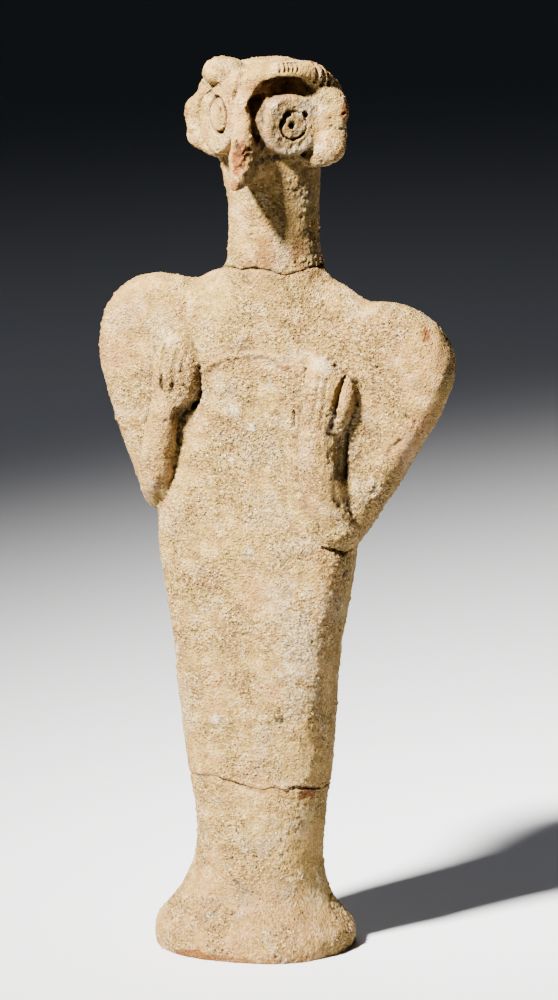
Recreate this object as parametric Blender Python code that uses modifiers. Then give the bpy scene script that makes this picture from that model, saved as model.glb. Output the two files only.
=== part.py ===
"""A hand-built clay figurine: a standing figure with a beaked face, disc eyes and arms folded up the chest.

The figure was built up from soft clay and fired as one piece. A solid column flares into its foot, a flat
slab pressed across it makes the shoulders and upper arms, and rolls, pads and pellets of clay make the
forearms, hands, eyes, headband and ears. Grooves are then pressed in with a stick and a hollow reed.

Frame: metres, +Z up, the figure faces -Y, and the origin is the middle of the foot's underside.
Every proportion is given in thousandths of the figure's height, as across (+X), back (+Y) and up (+Z).
Left and right are the figure's own: its left is at +X.
"""

import math
from dataclasses import dataclass

import bmesh
import bpy
import numpy as np
from mathutils import Matrix, Vector

HEIGHT = 0.165  # underside of the foot to the crown of the head
UNIT = HEIGHT / 1000  # one thousandth of the height, in which all proportions below are given

# How the clay is worked
JOIN_GRAIN = 3.0  # fineness at which the big masses are kneaded into one
JOIN_PASSES = 50  # strokes that smooth the joints of the big masses
ADD_GRAIN = 2.2  # fineness at which the face and arms are pressed on
ADD_PASSES = 5
FINISH_GRAIN = 1.6  # fineness at which the lumps and the eyes are pressed on
FINISH_PASSES = 2
STROKE = 0.5  # how far one stroke draws the skin towards its neighbours
TOOL_REACH = 1.6  # how far a groove's sloping sides reach, in half widths
TRIANGLES = 9600  # facets of the finished solid
CURVE_STEPS = 6  # steps between two points of an outline or a roll
ROUND_STEPS = 4  # steps across the rounded edge of a plate or a roll
PELLET_SIDES, PELLET_RINGS = 32, 20
SAME_PLACE = 1e-7  # metres: points nearer than this are one point

# Column: foot, shin, trunk and neck
COLUMN_SIDES = 48
RING_STEP = 6.0
COLUMN_BELOW_FOOT = -15.0  # the column is drawn on below the ground and cut off flat there

# Shoulder slab
SLAB_HALF_THICKNESS = 31.0
SLAB_EDGE_ROUND = 25.0
SLAB_BACK = 1.0

# Head: it stands a little to the figure's left, as the trunk leans, and the beak points back the other way
HEAD_ACROSS = 20.0
BEAK_ACROSS = 16.0
BAND_REACH = 69.0
BAND_RADIUS = 12.5
BAND_KNOTS = 11  # points that the roll of the headband runs through
EAR_TURN = math.radians(17)  # how far each ear plate faces out to the side
EAR_ROOT_BACK = -44.0
EAR_HALF_THICKNESS = 13.0
EAR_EDGE_ROUND = 10.0
EYE_THICKNESS = 34.0
EYE_EDGE_ROUND = 4.0
EYE_SIDES = 48
RIM_STEPS = 3  # steps across the rounded rim of an eye
SHARP_EDGE = 1.0  # radians: an edge that turns by more is an eye's rim
RING_GROOVE = (1.9, 6.0)  # half width and depth of the reed's ring
PUPIL_GROOVE = (3.6, 7.5)  # the same of the stick's hole
ARC_STEPS = 25  # points along the path of a groove round an eye

CLAY_COLOUR = (0.56, 0.43, 0.29, 1.0)
CLAY_ROUGHNESS = 0.92


@dataclass
class Station:
    """A level of the column: its middle, half width, half depth, and how square its outline is."""

    height: float
    middle_x: float
    middle_y: float
    half_width: float
    half_depth: float
    squareness: float


COLUMN = [
    Station(COLUMN_BELOW_FOOT, 0, 0, 106, 98, 2.3),
    Station(0, 0, 0, 107, 101, 2.3),
    Station(9, 0, 0, 110, 102, 2.3),
    Station(19, -1, 0, 111, 101, 2.2),
    Station(29, -2, 0, 107, 95, 2.2),
    Station(40, -3, 0, 98, 86, 2.1),
    Station(52, -3, 0, 89, 78, 2.1),
    Station(64, -1, 0, 82, 72, 2.1),
    Station(76, 0, 0, 77, 68, 2.1),
    Station(90, 2, 0, 73, 64, 2.2),
    Station(107, 4, 0, 71, 62, 2.2),
    Station(129, 5, 0, 71, 59, 2.3),
    Station(163, 5, 0, 73, 57, 2.5),
    Station(186, 5, 1, 77, 55, 3.0),
    Station(220, 4, 1, 80, 53, 3.6),
    Station(275, 2, 1, 85, 52, 4.0),
    Station(332, 2, 1, 90, 51, 4.2),
    Station(388, 3, 1, 98, 50, 4.4),
    Station(444, 2, 1, 108, 49, 4.2),
    Station(495, 4, 1, 112, 46, 3.4),
    Station(571, 12, 1, 108, 41, 2.7),
    Station(648, 16, 0, 104, 38, 2.5),
    Station(703, 20, 0, 91, 37, 2.3),
    Station(734, 21, 0, 70, 39, 2.2),
    Station(753, 23, 0, 59, 42, 2.1),
    Station(769, 23, 0, 54, 45, 2.1),
    Station(791, 21, 0, 50, 46, 2.0),
    Station(814, 21, 0, 49, 46, 2.0),
    Station(841, 21, -1, 50.5, 46, 2.0),
    Station(868, 19, -3, 55, 48, 2.0),
    Station(896, 17, -5, 58, 50, 2.0),
    Station(923, 16, -6, 55, 50, 2.0),
]

# Front outline of the shoulder slab, as across and up
SHOULDER_OUTLINE = [
    (21, 712),
    (-52, 734),
    (-105, 746),
    (-143, 739),
    (-171, 712),
    (-182, 660),
    (-168, 603),
    (-141, 530),
    (-126, 499),
    (-106, 486),
    (-80, 476),
    (60, 450),
    (106, 452),
    (143, 497),
    (188, 567),
    (219, 622),
    (229, 663),
    (221, 692),
    (194, 719),
    (147, 730),
    (108, 724),
]

# The face: a wedge of clay whose ridge is the brow above and the beak below
FACE = [
    # up, how far the ridge stands forward, half width of the ridge, half width at the cheeks, cheeks back
    (986, 60, 24, 46, -14),
    (976, 77, 21, 58, -20),
    (955, 86, 17, 62, -22),
    (930, 92, 14, 60, -23),
    (908, 98, 12.5, 50, -27),
    (892, 103, 11, 40, -32),
    (879, 108, 9, 32, -36),
    (870, 112, 6.5, 24, -38),
    (862, 110, 5, 16, -42),
]
# depth of the wall behind the ridge on its left and its right, and how far it spreads, as a share of that
RIDGE_WALL = {1: 24.0, -1: 3.0}
RIDGE_SPREAD = {1: 0.2, -1: 0.5}
CHEEK_BACK = 10  # how far back the wedge is sunk in the head
CHEEK_TAPER = 0.8  # its width there, as a share of its width at the cheeks
BEAK_TOP = 900  # below this the wedge is the beak alone
BEAK_TILT = 0.18  # rise of the beak's underside towards the neck

# The headband, by the angle round the head from the middle of the brow: how high it runs, and its radius
BAND_COURSE = [
    (-15, 974, 7),
    (0, 980, 10),
    (15, 985, 12.5),
    (35, 989, 12.5),
    (55, 986, 12.5),
    (75, 971, 12),
    (90, 959, 10),
]

# Outlines of the ear plates, as across from the head's middle and up
LEFT_EAR = [(48, 884), (67, 881), (75, 884), (84, 892), (90, 905), (92, 915), (90, 924), (93, 942)]
LEFT_EAR += [(91, 951), (87, 961), (76, 969), (62, 976), (48, 970)]
RIGHT_EAR = [(46, 887), (60, 886), (73, 892), (82, 897), (89, 908), (92, 920), (93, 935)]
RIGHT_EAR += [(91, 944), (84, 950), (77, 957), (72, 968), (60, 976), (46, 970)]

# Rolls of clay, as across, back, up and radius at each point
RIGHT_FOREARM = [(-110, -6, 498, 17), (-107, -27, 522, 19), (-100, -38, 562, 19), (-92, -41, 605, 17)]
RIGHT_FOREARM += [(-84, -36, 645, 11)]
LEFT_FOREARM = [(110, -4, 466, 16), (105, -23, 486, 20), (93, -38, 522, 23), (88, -45, 565, 22)]
LEFT_FOREARM += [(89, -44, 605, 20), (92, -37, 645, 11)]
LEFT_THUMB = [(107, -40, 590, 8), (114, -43, 611, 10), (120, -43, 635, 10.5), (121, -38, 655, 8)]

# Pads and pellets, as middle and radii
CHEST = ((19, 0, 620), (165, 42, 150))
UPPER_ARMS = [((-78, 0, 640), (80, 38, 84)), ((122, 0, 622), (86, 38, 84))]
SKULL = ((18, -6, 934), (62, 55, 52))
CROWN = ((19, -4, 966), (63, 54, 28))
RIGHT_HAND = ((-81, -36, 642), (27, 19, 44))
LEFT_HAND = ((91, -38, 630), (23, 18, 44))
LEFT_ELBOW = ((102, -20, 481), (25, 27, 22))
LEFT_FOREARM_PAD = ((70, -30, 520), (30, 18, 80))
RIGHT_TEMPLE_LUMP = ((-22, -40, 981), (24, 27, 17))
FOREHEAD = ((0, -42, 962), (34, 32, 26))
EAR_LOBES = [((92, -25, 905), (21, 17, 21)), ((-52, -24, 908), (20, 14, 18))]


@dataclass
class Arc:
    """Part of a groove round an eye: from one angle to another at a radius, its half width and depth.

    It starts this far below the eye's flat face, and is pushed in with this much lift.
    """

    start: float
    end: float
    radius: float
    half_width: float
    depth: float
    sunk: float = 0.0
    lift: float = 0.0


@dataclass
class Eye:
    """A flat round pellet: its side, where 1 is the figure's left, its middle, turn, radius and grooves.

    The ring's middle and the pupil are places on its flat face.
    """

    side: int
    across: float
    back: float
    up: float
    turn: float
    radius: float
    ring_radius: float
    ring_middle: tuple[float, float]
    pupil: tuple[float, float]
    socket: list[Arc]


LEFT_EYE = Eye(1, 45.5, -59, 930, math.radians(48), 33.5, 15.5, (0, 0), (-1.5, 0.5), [
    Arc(84, 155, 46, 9.0, 22, 6, 0.45),
    Arc(86, 150, 41, 6.0, 16, 12, 0.2),
    Arc(52, 84, 43, 4.0, 8, 5, 0.3),
    Arc(125, 205, 40, 5.0, 14, 9),
    Arc(125, 200, 39, 4.0, 12, 16),
    Arc(205, 330, 38.5, 4.0, 13, 6),
    Arc(330, 385, 38.5, 3.2, 9, 5),
])
RIGHT_EYE = Eye(-1, 46, -63, 930, math.radians(42), 36, 19.5, (11, 9.5), (16.5, 14.8), [
    Arc(80, 250, 39, 3.4, 8.0, 5),
    Arc(250, 330, 39, 3.0, 6.0, 5),
])


@dataclass
class Groove:
    """A groove pressed along a path: half width and depth, and which way the tool pushes.

    It also reaches skin that lies this much before or behind the path, as the tool pushes.
    """

    path: list[tuple[float, float, float]]
    half_width: float
    depth: float
    push: tuple[float, float, float] = (0, 1, 0)
    slack: float = 0.0


SLANT = (0.15, 1, 0)  # the way the stick is pushed in along the arms
ARM_GROOVES = [
    Groove([(-106, -30, 497), (-99, -34, 511), (-91.6, -36, 534), (-87, -36, 553)], 3.4, 3, SLANT, 9),
    Groove([(-87, -36, 551), (-83, -36, 568), (-83, -36, 584), (-77, -36, 598)], 3.6, 5, SLANT, 9),
    Groove([(-79, -36, 596), (-70, -38, 604), (-62, -38, 609)], 4.4, 10, SLANT, 9),
    Groove([(-64, -38, 608), (-58, -38, 613), (-55, -38, 622)], 3.6, 11, SLANT, 9),
    Groove([(-55, -38, 621), (-53.5, -38, 634), (-53, -38, 651)], 2.8, 12, SLANT, 9),
    Groove([(117, -42, 653), (113, -42, 633), (110, -42, 615), (106, -42, 592)], 2.8, 17, SLANT, 8),
    Groove([(131, -30, 638), (131, -30, 622), (124, -32, 603), (117, -34, 586)], 2.4, 6, SLANT, 9),
    Groove([(117, -34, 588), (112.5, -36, 560), (111, -38, 522)], 2.8, 17, SLANT, 9),
    Groove([(111, -38, 526), (114, -38, 510), (120, -34, 500)], 2.4, 8, SLANT, 9),
    Groove([(146, -30, 640), (142, -32, 600), (130, -34, 545)], 14.0, 4, (0, 1, 0), 8),
    Groove([(92, -38, 461), (99, -34, 459), (104, -28, 456)], 2.6, 7, (-0.3, 0.8, 0.5), 6),
    Groove([(103, -29, 456), (110, -16, 451), (114, -4, 454)], 2.6, 7, (-0.7, 0.4, 0.5), 6),
]
FINGER_GROOVES = [
    Groove([(-89.5, -50, 684), (-92, -51, 655), (-91.5, -51, 628)], 2.4, 3.6, (0, 1, 0), 4),
    Groove([(-74, -50, 671), (-77, -52, 648), (-79, -52, 626)], 2.4, 3.6, (0, 1, 0), 4),
    Groove([(-64, -49, 668), (-66, -51, 650)], 2.4, 2.6, (0, 1, 0), 4),
    Groove([(71, -40, 658), (72.5, -41, 643)], 2.2, 6, (0.3, 1, 0), 8),
    Groove([(92, -53, 652), (88, -55, 620), (86, -57, 596)], 2.4, 3.4, (0, 1, 0), 5),
    Groove([(100, -52, 650), (98, -54, 620), (97, -56, 598)], 2.4, 3.4, (0, 1, 0), 5),
]
HEAD_GROOVES = [
    Groove([(-48, -40, 962), (-32, -56, 958)], 6.5, 4.5, (0.6, 1, 0.3)),
    Groove([(-2, -34, 998), (5, -58, 992), (9, -74, 979), (4, -76, 962)], 4.2, 8.0, (0.2, 1, -0.5), 4),
    Groove([(98, -36, 926), (108, -32, 924), (115, -22, 923)], 2.0, 5.0, (-0.4, 1, 0)),
]
BAND_NOTCHES = [26.3, 30.2, 33.6, 37, 40.5, 57, 63.5, 69]  # angles of the cuts across the headband
NOTCH_SLANT = 1  # degrees that a cut leans back between its front and either end
NOTCH_DROP = 0.3  # how far the stick leans down as it cuts
DEEP_NOTCHES_FROM = 55
# half width and depth of a cut, and how far above and below the roll's middle it runs, in band radii
NOTCH = (1.6, 3.5, (0.85, 0.2))
DEEP_NOTCH = (2.2, 8.0, (0.9, -0.7))


def point(across: float, back: float, up: float) -> Vector:
    """A place given in thousandths of the height, as metres."""
    return Vector((across, back, up)) * UNIT


def clear_scene() -> None:
    """Removes every object, so that the script can be run again in the same file."""
    for obj in list(bpy.data.objects):
        bpy.data.objects.remove(obj, do_unlink=True)


def linked(name: str, data: bpy.types.ID) -> bpy.types.Object:
    """A new object for this mesh or curve, in the scene."""
    obj = bpy.data.objects.new(name, data)
    bpy.context.scene.collection.objects.link(obj)
    return obj


def from_bmesh(name: str, bm: bmesh.types.BMesh) -> bpy.types.Object:
    """A new object from a bmesh, with its faces pointing out."""
    bmesh.ops.recalc_face_normals(bm, faces=bm.faces)
    mesh = bpy.data.meshes.new(name)
    bm.to_mesh(mesh)
    bm.free()
    return linked(name, mesh)


def evaluated_mesh(obj: bpy.types.Object) -> bpy.types.Mesh:
    """The object's mesh with its modifiers, in world space."""
    bpy.context.view_layer.update()
    graph = bpy.context.evaluated_depsgraph_get()
    mesh = bpy.data.meshes.new_from_object(obj.evaluated_get(graph))
    mesh.transform(obj.matrix_world)
    return mesh


def loft(name: str, rings: list[list[Vector]]) -> bpy.types.Object:
    """A closed skin over rings that all have the same number of points."""
    bm = bmesh.new()
    rows = [[bm.verts.new(p) for p in ring] for ring in rings]
    for lower, upper in zip(rows, rows[1:]):
        for i in range(len(lower)):
            j = (i + 1) % len(lower)
            bm.faces.new((lower[i], lower[j], upper[j], upper[i]))
    bm.faces.new(rows[0])
    bm.faces.new(rows[-1])
    return from_bmesh(name, bm)


def smooth_between(values: list[float], stations: list[float], at: float) -> float:
    """A smooth curve through a value at each station (a Hermite spline with even slopes)."""
    i = max(0, min(len(stations) - 2, int(np.searchsorted(stations, at)) - 1))

    def slope(k: int) -> float:
        a, b = max(0, k - 1), min(len(stations) - 1, k + 1)
        return (values[b] - values[a]) / (stations[b] - stations[a])

    span = stations[i + 1] - stations[i]
    t = (at - stations[i]) / span
    return (
        values[i] * (2 * t**3 - 3 * t**2 + 1)
        + slope(i) * span * (t**3 - 2 * t**2 + t)
        + values[i + 1] * (3 * t**2 - 2 * t**3)
        + slope(i + 1) * span * (t**3 - t**2)
    )


def column() -> bpy.types.Object:
    """The figure's core from foot to head, skinned over superellipses that follow the stations."""
    heights = [s.height for s in COLUMN]
    rings = []
    for z in np.arange(heights[0], heights[-1] + 0.5 * RING_STEP, RING_STEP):
        middle_x, middle_y, half_width, half_depth, squareness = (
            smooth_between([getattr(s, size) for s in COLUMN], heights, z)
            for size in ("middle_x", "middle_y", "half_width", "half_depth", "squareness")
        )
        ring = []
        for k in range(COLUMN_SIDES):
            turn = 2 * math.pi * k / COLUMN_SIDES
            c, s = math.cos(turn), math.sin(turn)
            x = math.copysign(abs(c) ** (2 / squareness), c) * half_width
            y = math.copysign(abs(s) ** (2 / squareness), s) * half_depth
            ring.append(point(middle_x + x, middle_y + y, z))
        rings.append(ring)
    return loft("column", rings)


def plate(name: str, outline: list[tuple], half_thickness: float, edge_round: float) -> bpy.types.Object:
    """A flat slab with a rounded edge, standing upright on the X axis: its outline is across and up."""
    curve = bpy.data.curves.new(name, "CURVE")
    curve.dimensions = "2D"
    curve.fill_mode = "BOTH"
    curve.resolution_u = CURVE_STEPS
    curve.extrude = (half_thickness - edge_round) * UNIT
    curve.bevel_depth = edge_round * UNIT
    curve.bevel_resolution = ROUND_STEPS
    curve.offset = -edge_round * UNIT
    spline = curve.splines.new("BEZIER")
    spline.use_cyclic_u = True
    spline.bezier_points.add(len(outline) - 1)
    for knot, (across, up) in zip(spline.bezier_points, outline):
        knot.co = point(across, up, 0)
        knot.handle_left_type = knot.handle_right_type = "AUTO"
    obj = linked(name, curve)
    obj.rotation_euler = (math.radians(90), 0, 0)
    return obj


def shoulders() -> bpy.types.Object:
    """The slab of shoulders and upper arms."""
    slab = plate("shoulders", SHOULDER_OUTLINE, SLAB_HALF_THICKNESS, SLAB_EDGE_ROUND)
    slab.location = point(0, SLAB_BACK, 0)
    return slab


def ear(side: int, outline: list[tuple]) -> bpy.types.Object:
    """The flat plate of one ear, turned a little to the side. side is 1 for the figure's left."""
    turned = [(side * across / math.cos(EAR_TURN), up) for across, up in outline]
    obj = plate(f"ear_{side}", turned, EAR_HALF_THICKNESS, EAR_EDGE_ROUND)
    obj.rotation_euler = (math.radians(90), 0, side * EAR_TURN)
    obj.location = point(HEAD_ACROSS, EAR_ROOT_BACK, 0)
    return obj


def face() -> bpy.types.Object:
    """The wedge of brow, cheeks and beak."""
    rings = []
    right_wall, left_wall = RIDGE_WALL[-1], RIDGE_WALL[1]
    right_edge, left_edge = (RIDGE_WALL[side] * RIDGE_SPREAD[side] for side in (-1, 1))
    for up, forward, ridge, cheek, cheek_back in FACE:
        outline = [
            (-cheek, cheek_back),
            (-ridge - right_edge, -forward + ridge + right_wall),
            (-ridge, -forward + ridge),
            (-ridge / 2, -forward),
            (ridge / 2, -forward),
            (ridge, -forward + ridge),
            (ridge + left_edge, -forward + ridge + left_wall),
            (cheek, cheek_back),
            (cheek * CHEEK_TAPER, CHEEK_BACK),
            (-cheek * CHEEK_TAPER, CHEEK_BACK),
        ]
        tilt = BEAK_TILT if up < BEAK_TOP else 0
        rings.append([point(BEAK_ACROSS + x, y, up + tilt * (y + forward)) for x, y in outline])
    return loft("face", rings)


def roll(name: str, path: list[tuple[float, float, float, float]]) -> bpy.types.Object:
    """A roll of clay along a path, with a radius at each point."""
    curve = bpy.data.curves.new(name, "CURVE")
    curve.dimensions = "3D"
    curve.bevel_depth = UNIT
    curve.bevel_resolution = ROUND_STEPS
    curve.resolution_u = CURVE_STEPS
    curve.use_fill_caps = True
    spline = curve.splines.new("BEZIER")
    spline.bezier_points.add(len(path) - 1)
    for knot, (across, back, up, radius) in zip(spline.bezier_points, path):
        knot.co = point(across, back, up)
        knot.radius = radius
        knot.handle_left_type = knot.handle_right_type = "AUTO"
    return linked(name, curve)


def band_course(angle: float) -> tuple[float, float]:
    """How high the headband runs at this angle, and its radius."""
    angles, heights, radii = zip(*BAND_COURSE)
    return smooth_between(heights, angles, angle), smooth_between(radii, angles, angle)


def band_spot(angle: float, reach: float, rise: float) -> tuple[float, float, float]:
    """A place on or near the headband, by the angle round the head from the middle of the brow."""
    turn = math.radians(angle)
    return (HEAD_ACROSS + reach * math.sin(turn), -reach * math.cos(turn), band_course(angle)[0] + rise)


def band() -> bpy.types.Object:
    """The roll of the headband, round the brow to the figure's left temple."""
    angles = np.linspace(BAND_COURSE[0][0], BAND_COURSE[-1][0], BAND_KNOTS)
    return roll("band", [(*band_spot(angle, BAND_REACH, 0), band_course(angle)[1]) for angle in angles])


def notches() -> list[Groove]:
    """The cuts across the headband, deeper towards the figure's left temple."""
    cuts = []
    for angle in BAND_NOTCHES:
        half_width, depth, ends = DEEP_NOTCH if angle >= DEEP_NOTCHES_FROM else NOTCH
        path = [
            band_spot(angle - slant, BAND_REACH + BAND_RADIUS * math.sqrt(1 - end**2), BAND_RADIUS * end)
            for slant, end in ((NOTCH_SLANT, ends[0]), (0, sum(ends) / 2), (NOTCH_SLANT, ends[1]))
        ]
        turn = math.radians(angle)
        cuts.append(Groove(path, half_width, depth, (-math.sin(turn), math.cos(turn), -NOTCH_DROP)))
    return cuts


def pellet(name: str, middle: tuple, radii: tuple) -> bpy.types.Object:
    """A ball of clay pressed out to three radii."""
    bm = bmesh.new()
    bmesh.ops.create_uvsphere(bm, u_segments=PELLET_SIDES, v_segments=PELLET_RINGS, radius=1.0)
    place = Matrix.Translation(point(*middle)) @ Matrix.Diagonal((*point(*radii), 1.0))
    bmesh.ops.transform(bm, matrix=place, verts=bm.verts)
    return from_bmesh(name, bm)


def eye_frame(eye: Eye) -> Matrix:
    """Where an eye sits, with local +Z looking out of it and local +Y up."""
    out = Vector((eye.side * math.sin(eye.turn), -math.cos(eye.turn), 0))
    place = Matrix.Translation(point(HEAD_ACROSS + eye.side * eye.across, eye.back, eye.up))
    return place @ out.to_track_quat("Z", "Y").to_matrix().to_4x4()


def eye_disc(eye: Eye) -> bpy.types.Object:
    """The pellet of one eye, with a rounded rim."""
    bm = bmesh.new()
    bmesh.ops.create_cone(
        bm,
        cap_ends=True,
        segments=EYE_SIDES,
        radius1=eye.radius * UNIT,
        radius2=eye.radius * UNIT,
        depth=EYE_THICKNESS * UNIT,
    )
    rim = [e for e in bm.edges if e.calc_face_angle() > SHARP_EDGE]
    round_off = EYE_EDGE_ROUND * UNIT
    bmesh.ops.bevel(bm, geom=rim, offset=round_off, segments=RIM_STEPS, affect="EDGES", profile=0.5)
    sink = Matrix.Translation((0, 0, -EYE_THICKNESS / 2 * UNIT))
    bmesh.ops.transform(bm, matrix=eye_frame(eye) @ sink, verts=bm.verts)
    return from_bmesh(f"eye_{eye.side}", bm)


def eye_grooves(eye: Eye) -> list[Groove]:
    """The socket round one eye, and the reed's ring and the stick's hole pressed into it."""
    place = eye_frame(eye)

    def spot(x: float, y: float, sunk: float) -> tuple:
        return tuple(place @ (Vector((x, y, -sunk)) * UNIT) / UNIT)

    ring = Arc(0, 360, eye.ring_radius, *RING_GROOVE)
    grooves = []
    for arc, (x, y) in [*((arc, (0, 0)) for arc in eye.socket), (ring, eye.ring_middle)]:
        turns = np.radians(np.linspace(arc.start, arc.end, ARC_STEPS))
        path = [spot(x + arc.radius * math.cos(t), y + arc.radius * math.sin(t), arc.sunk) for t in turns]
        push = tuple(place.to_3x3() @ Vector((0, arc.lift, -1)))
        grooves.append(Groove(path, arc.half_width, arc.depth, push))
    pupil = spot(*eye.pupil, 0)
    half_width, depth = PUPIL_GROOVE
    straight_in = tuple(place.to_3x3() @ Vector((0, 0, -1)))
    return [*grooves, Groove([pupil, pupil], half_width, depth, straight_in)]


def knead(name: str, pieces: list[bpy.types.Object], grain: float, passes: int) -> bpy.types.Object:
    """Presses pieces that overlap into one skin, then smooths it. The pieces are used up."""
    bm = bmesh.new()
    for piece in pieces:
        mesh = evaluated_mesh(piece)
        bm.from_mesh(mesh)
        bpy.data.meshes.remove(mesh)
        bpy.data.objects.remove(piece, do_unlink=True)
    bmesh.ops.remove_doubles(bm, verts=bm.verts, dist=SAME_PLACE)
    mass = bpy.data.meshes.new(name)
    bm.to_mesh(mass)
    bm.free()
    lump = linked(name, mass)
    remesh = lump.modifiers.new("knead", "REMESH")
    remesh.mode = "VOXEL"
    remesh.voxel_size = grain * UNIT
    smooth = lump.modifiers.new("stroke", "SMOOTH")
    smooth.factor = STROKE
    smooth.iterations = round(passes)
    skin = evaluated_mesh(lump)
    bpy.data.objects.remove(lump, do_unlink=True)
    return linked(name, skin)


def vertex_values(mesh: bpy.types.Mesh, name: str) -> np.ndarray:
    """A vector of each of the mesh's vertices, as rows of three numbers."""
    values = np.empty(len(mesh.vertices) * 3)
    mesh.vertices.foreach_get(name, values)
    return values.reshape(-1, 3)


def press(obj: bpy.types.Object, grooves: list[Groove]) -> None:
    """Pushes the skin in along each groove, deepest on the path and fading out to its edges."""
    places = vertex_values(obj.data, "co") / UNIT
    normals = vertex_values(obj.data, "normal")
    moved = places.copy()
    for groove in grooves:
        nearest = np.full(len(places), np.inf)
        corners = [np.array(p) for p in groove.path]
        push = np.array(groove.push) / np.linalg.norm(groove.push)
        for a, b in zip(corners, corners[1:]):
            along = b - a
            share = np.clip((places - a) @ along / max(along @ along, 1e-9), 0, 1)
            away = places - a - share[:, None] * along
            away -= np.clip(away @ push, -groove.slack, groove.slack)[:, None] * push
            nearest = np.minimum(nearest, np.linalg.norm(away, axis=1))
        fade = np.clip(1 - (nearest / (TOOL_REACH * groove.half_width)) ** 2, 0, 1) ** 2
        # skin that looks away from the tool stays where it is
        fade[normals @ push > 0] = 0
        moved += (fade * groove.depth)[:, None] * push
    obj.data.vertices.foreach_set("co", (moved * UNIT).ravel())
    obj.data.update()


def cut_flat_underneath(obj: bpy.types.Object) -> None:
    """Cuts the foot off at the ground and closes it with one flat face."""
    bm = bmesh.new()
    bm.from_mesh(obj.data)
    every = [*bm.verts, *bm.edges, *bm.faces]
    cut = bmesh.ops.bisect_plane(bm, geom=every, plane_co=(0, 0, 0), plane_no=(0, 0, 1), clear_inner=True)
    rim = [e for e in cut["geom_cut"] if isinstance(e, bmesh.types.BMEdge)]
    bmesh.ops.contextual_create(bm, geom=rim)
    bmesh.ops.triangulate(bm, faces=bm.faces)
    bm.to_mesh(obj.data)
    bm.free()
    obj.data.update()


def facet(obj: bpy.types.Object) -> None:
    """Thins the skin to the number of facets that the finished solid has."""
    decimate = obj.modifiers.new("facets", "DECIMATE")
    decimate.ratio = TRIANGLES / len(obj.data.polygons)
    obj.data = evaluated_mesh(obj)
    obj.modifiers.clear()


def build() -> bpy.types.Object:
    """The whole figurine, as one solid."""
    pads = [CHEST, *UPPER_ARMS, SKULL, CROWN]
    masses = [column(), shoulders(), *(pellet("pad", *pad) for pad in pads)]
    figure = knead("masses", masses, JOIN_GRAIN, JOIN_PASSES)
    added = [
        face(),
        band(),
        ear(1, LEFT_EAR),
        ear(-1, RIGHT_EAR),
        roll("right_forearm", RIGHT_FOREARM),
        roll("left_forearm", LEFT_FOREARM),
        roll("left_thumb", LEFT_THUMB),
        pellet("right_hand", *RIGHT_HAND),
        pellet("left_hand", *LEFT_HAND),
        pellet("left_elbow", *LEFT_ELBOW),
        pellet("left_forearm_pad", *LEFT_FOREARM_PAD),
        pellet("forehead", *FOREHEAD),
    ]
    figure = knead("modelled", [figure, *added], ADD_GRAIN, ADD_PASSES)
    lumps = [pellet("lump", *lump) for lump in (RIGHT_TEMPLE_LUMP, *EAR_LOBES)]
    eyes = [eye_disc(LEFT_EYE), eye_disc(RIGHT_EYE)]
    figure = knead("clay_figurine", [figure, *lumps, *eyes], FINISH_GRAIN, FINISH_PASSES)
    press(figure, ARM_GROOVES + FINGER_GROOVES + HEAD_GROOVES + notches())
    press(figure, eye_grooves(LEFT_EYE) + eye_grooves(RIGHT_EYE))
    cut_flat_underneath(figure)
    facet(figure)
    return figure


def clay() -> bpy.types.Material:
    """Fired clay under a skin of buff soil."""
    material = bpy.data.materials.new("fired_clay")
    material.use_nodes = True
    shader = material.node_tree.nodes["Principled BSDF"]
    shader.inputs["Base Color"].default_value = CLAY_COLOUR
    shader.inputs["Roughness"].default_value = CLAY_ROUGHNESS
    shader.inputs["Metallic"].default_value = 0.0
    return material


def main() -> None:
    """Clears the scene, builds the figurine and puts it in its own collection."""
    clear_scene()
    figure = build()
    figure.data.name = figure.name
    figure.data.materials.append(clay())
    figure.data.shade_smooth()
    home = bpy.data.collections.new("Clay figurine")
    bpy.context.scene.collection.children.link(home)
    bpy.context.scene.collection.objects.unlink(figure)
    home.objects.link(figure)


main()
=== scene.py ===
"""The looks of a clay figurine: built up by hand, fired, buried, and put together from three sherds.

Left and right are the figure's own. Forms are placed in thousandths of its height, as across (+X),
back (+Y) and up (+Z); the skin is worked in millimetres. The figure faces -Y and stands on the origin.
"""

import itertools
import logging
import math
from dataclasses import dataclass, replace
from enum import Enum

import bmesh
import bpy
import numpy as np
from mathutils import Matrix, Vector


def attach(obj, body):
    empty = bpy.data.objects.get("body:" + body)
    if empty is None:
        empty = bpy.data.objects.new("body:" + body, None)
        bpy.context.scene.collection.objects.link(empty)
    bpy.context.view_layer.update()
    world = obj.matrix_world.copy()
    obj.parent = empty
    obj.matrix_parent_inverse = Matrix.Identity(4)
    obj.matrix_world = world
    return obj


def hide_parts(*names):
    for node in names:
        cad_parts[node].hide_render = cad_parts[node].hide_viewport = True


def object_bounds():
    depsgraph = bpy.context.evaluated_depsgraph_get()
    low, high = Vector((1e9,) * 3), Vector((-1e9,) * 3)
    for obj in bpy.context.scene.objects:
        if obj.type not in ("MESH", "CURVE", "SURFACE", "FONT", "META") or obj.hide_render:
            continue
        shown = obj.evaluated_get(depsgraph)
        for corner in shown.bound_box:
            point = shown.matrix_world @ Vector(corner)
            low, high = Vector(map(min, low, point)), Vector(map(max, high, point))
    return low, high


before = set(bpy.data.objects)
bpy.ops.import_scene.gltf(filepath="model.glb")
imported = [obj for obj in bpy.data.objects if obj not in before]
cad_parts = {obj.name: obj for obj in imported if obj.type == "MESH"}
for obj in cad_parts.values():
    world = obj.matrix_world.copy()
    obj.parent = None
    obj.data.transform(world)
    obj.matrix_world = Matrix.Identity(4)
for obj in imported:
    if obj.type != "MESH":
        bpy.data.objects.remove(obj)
CAD_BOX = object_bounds()

log = logging.getLogger("figurine")

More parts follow.
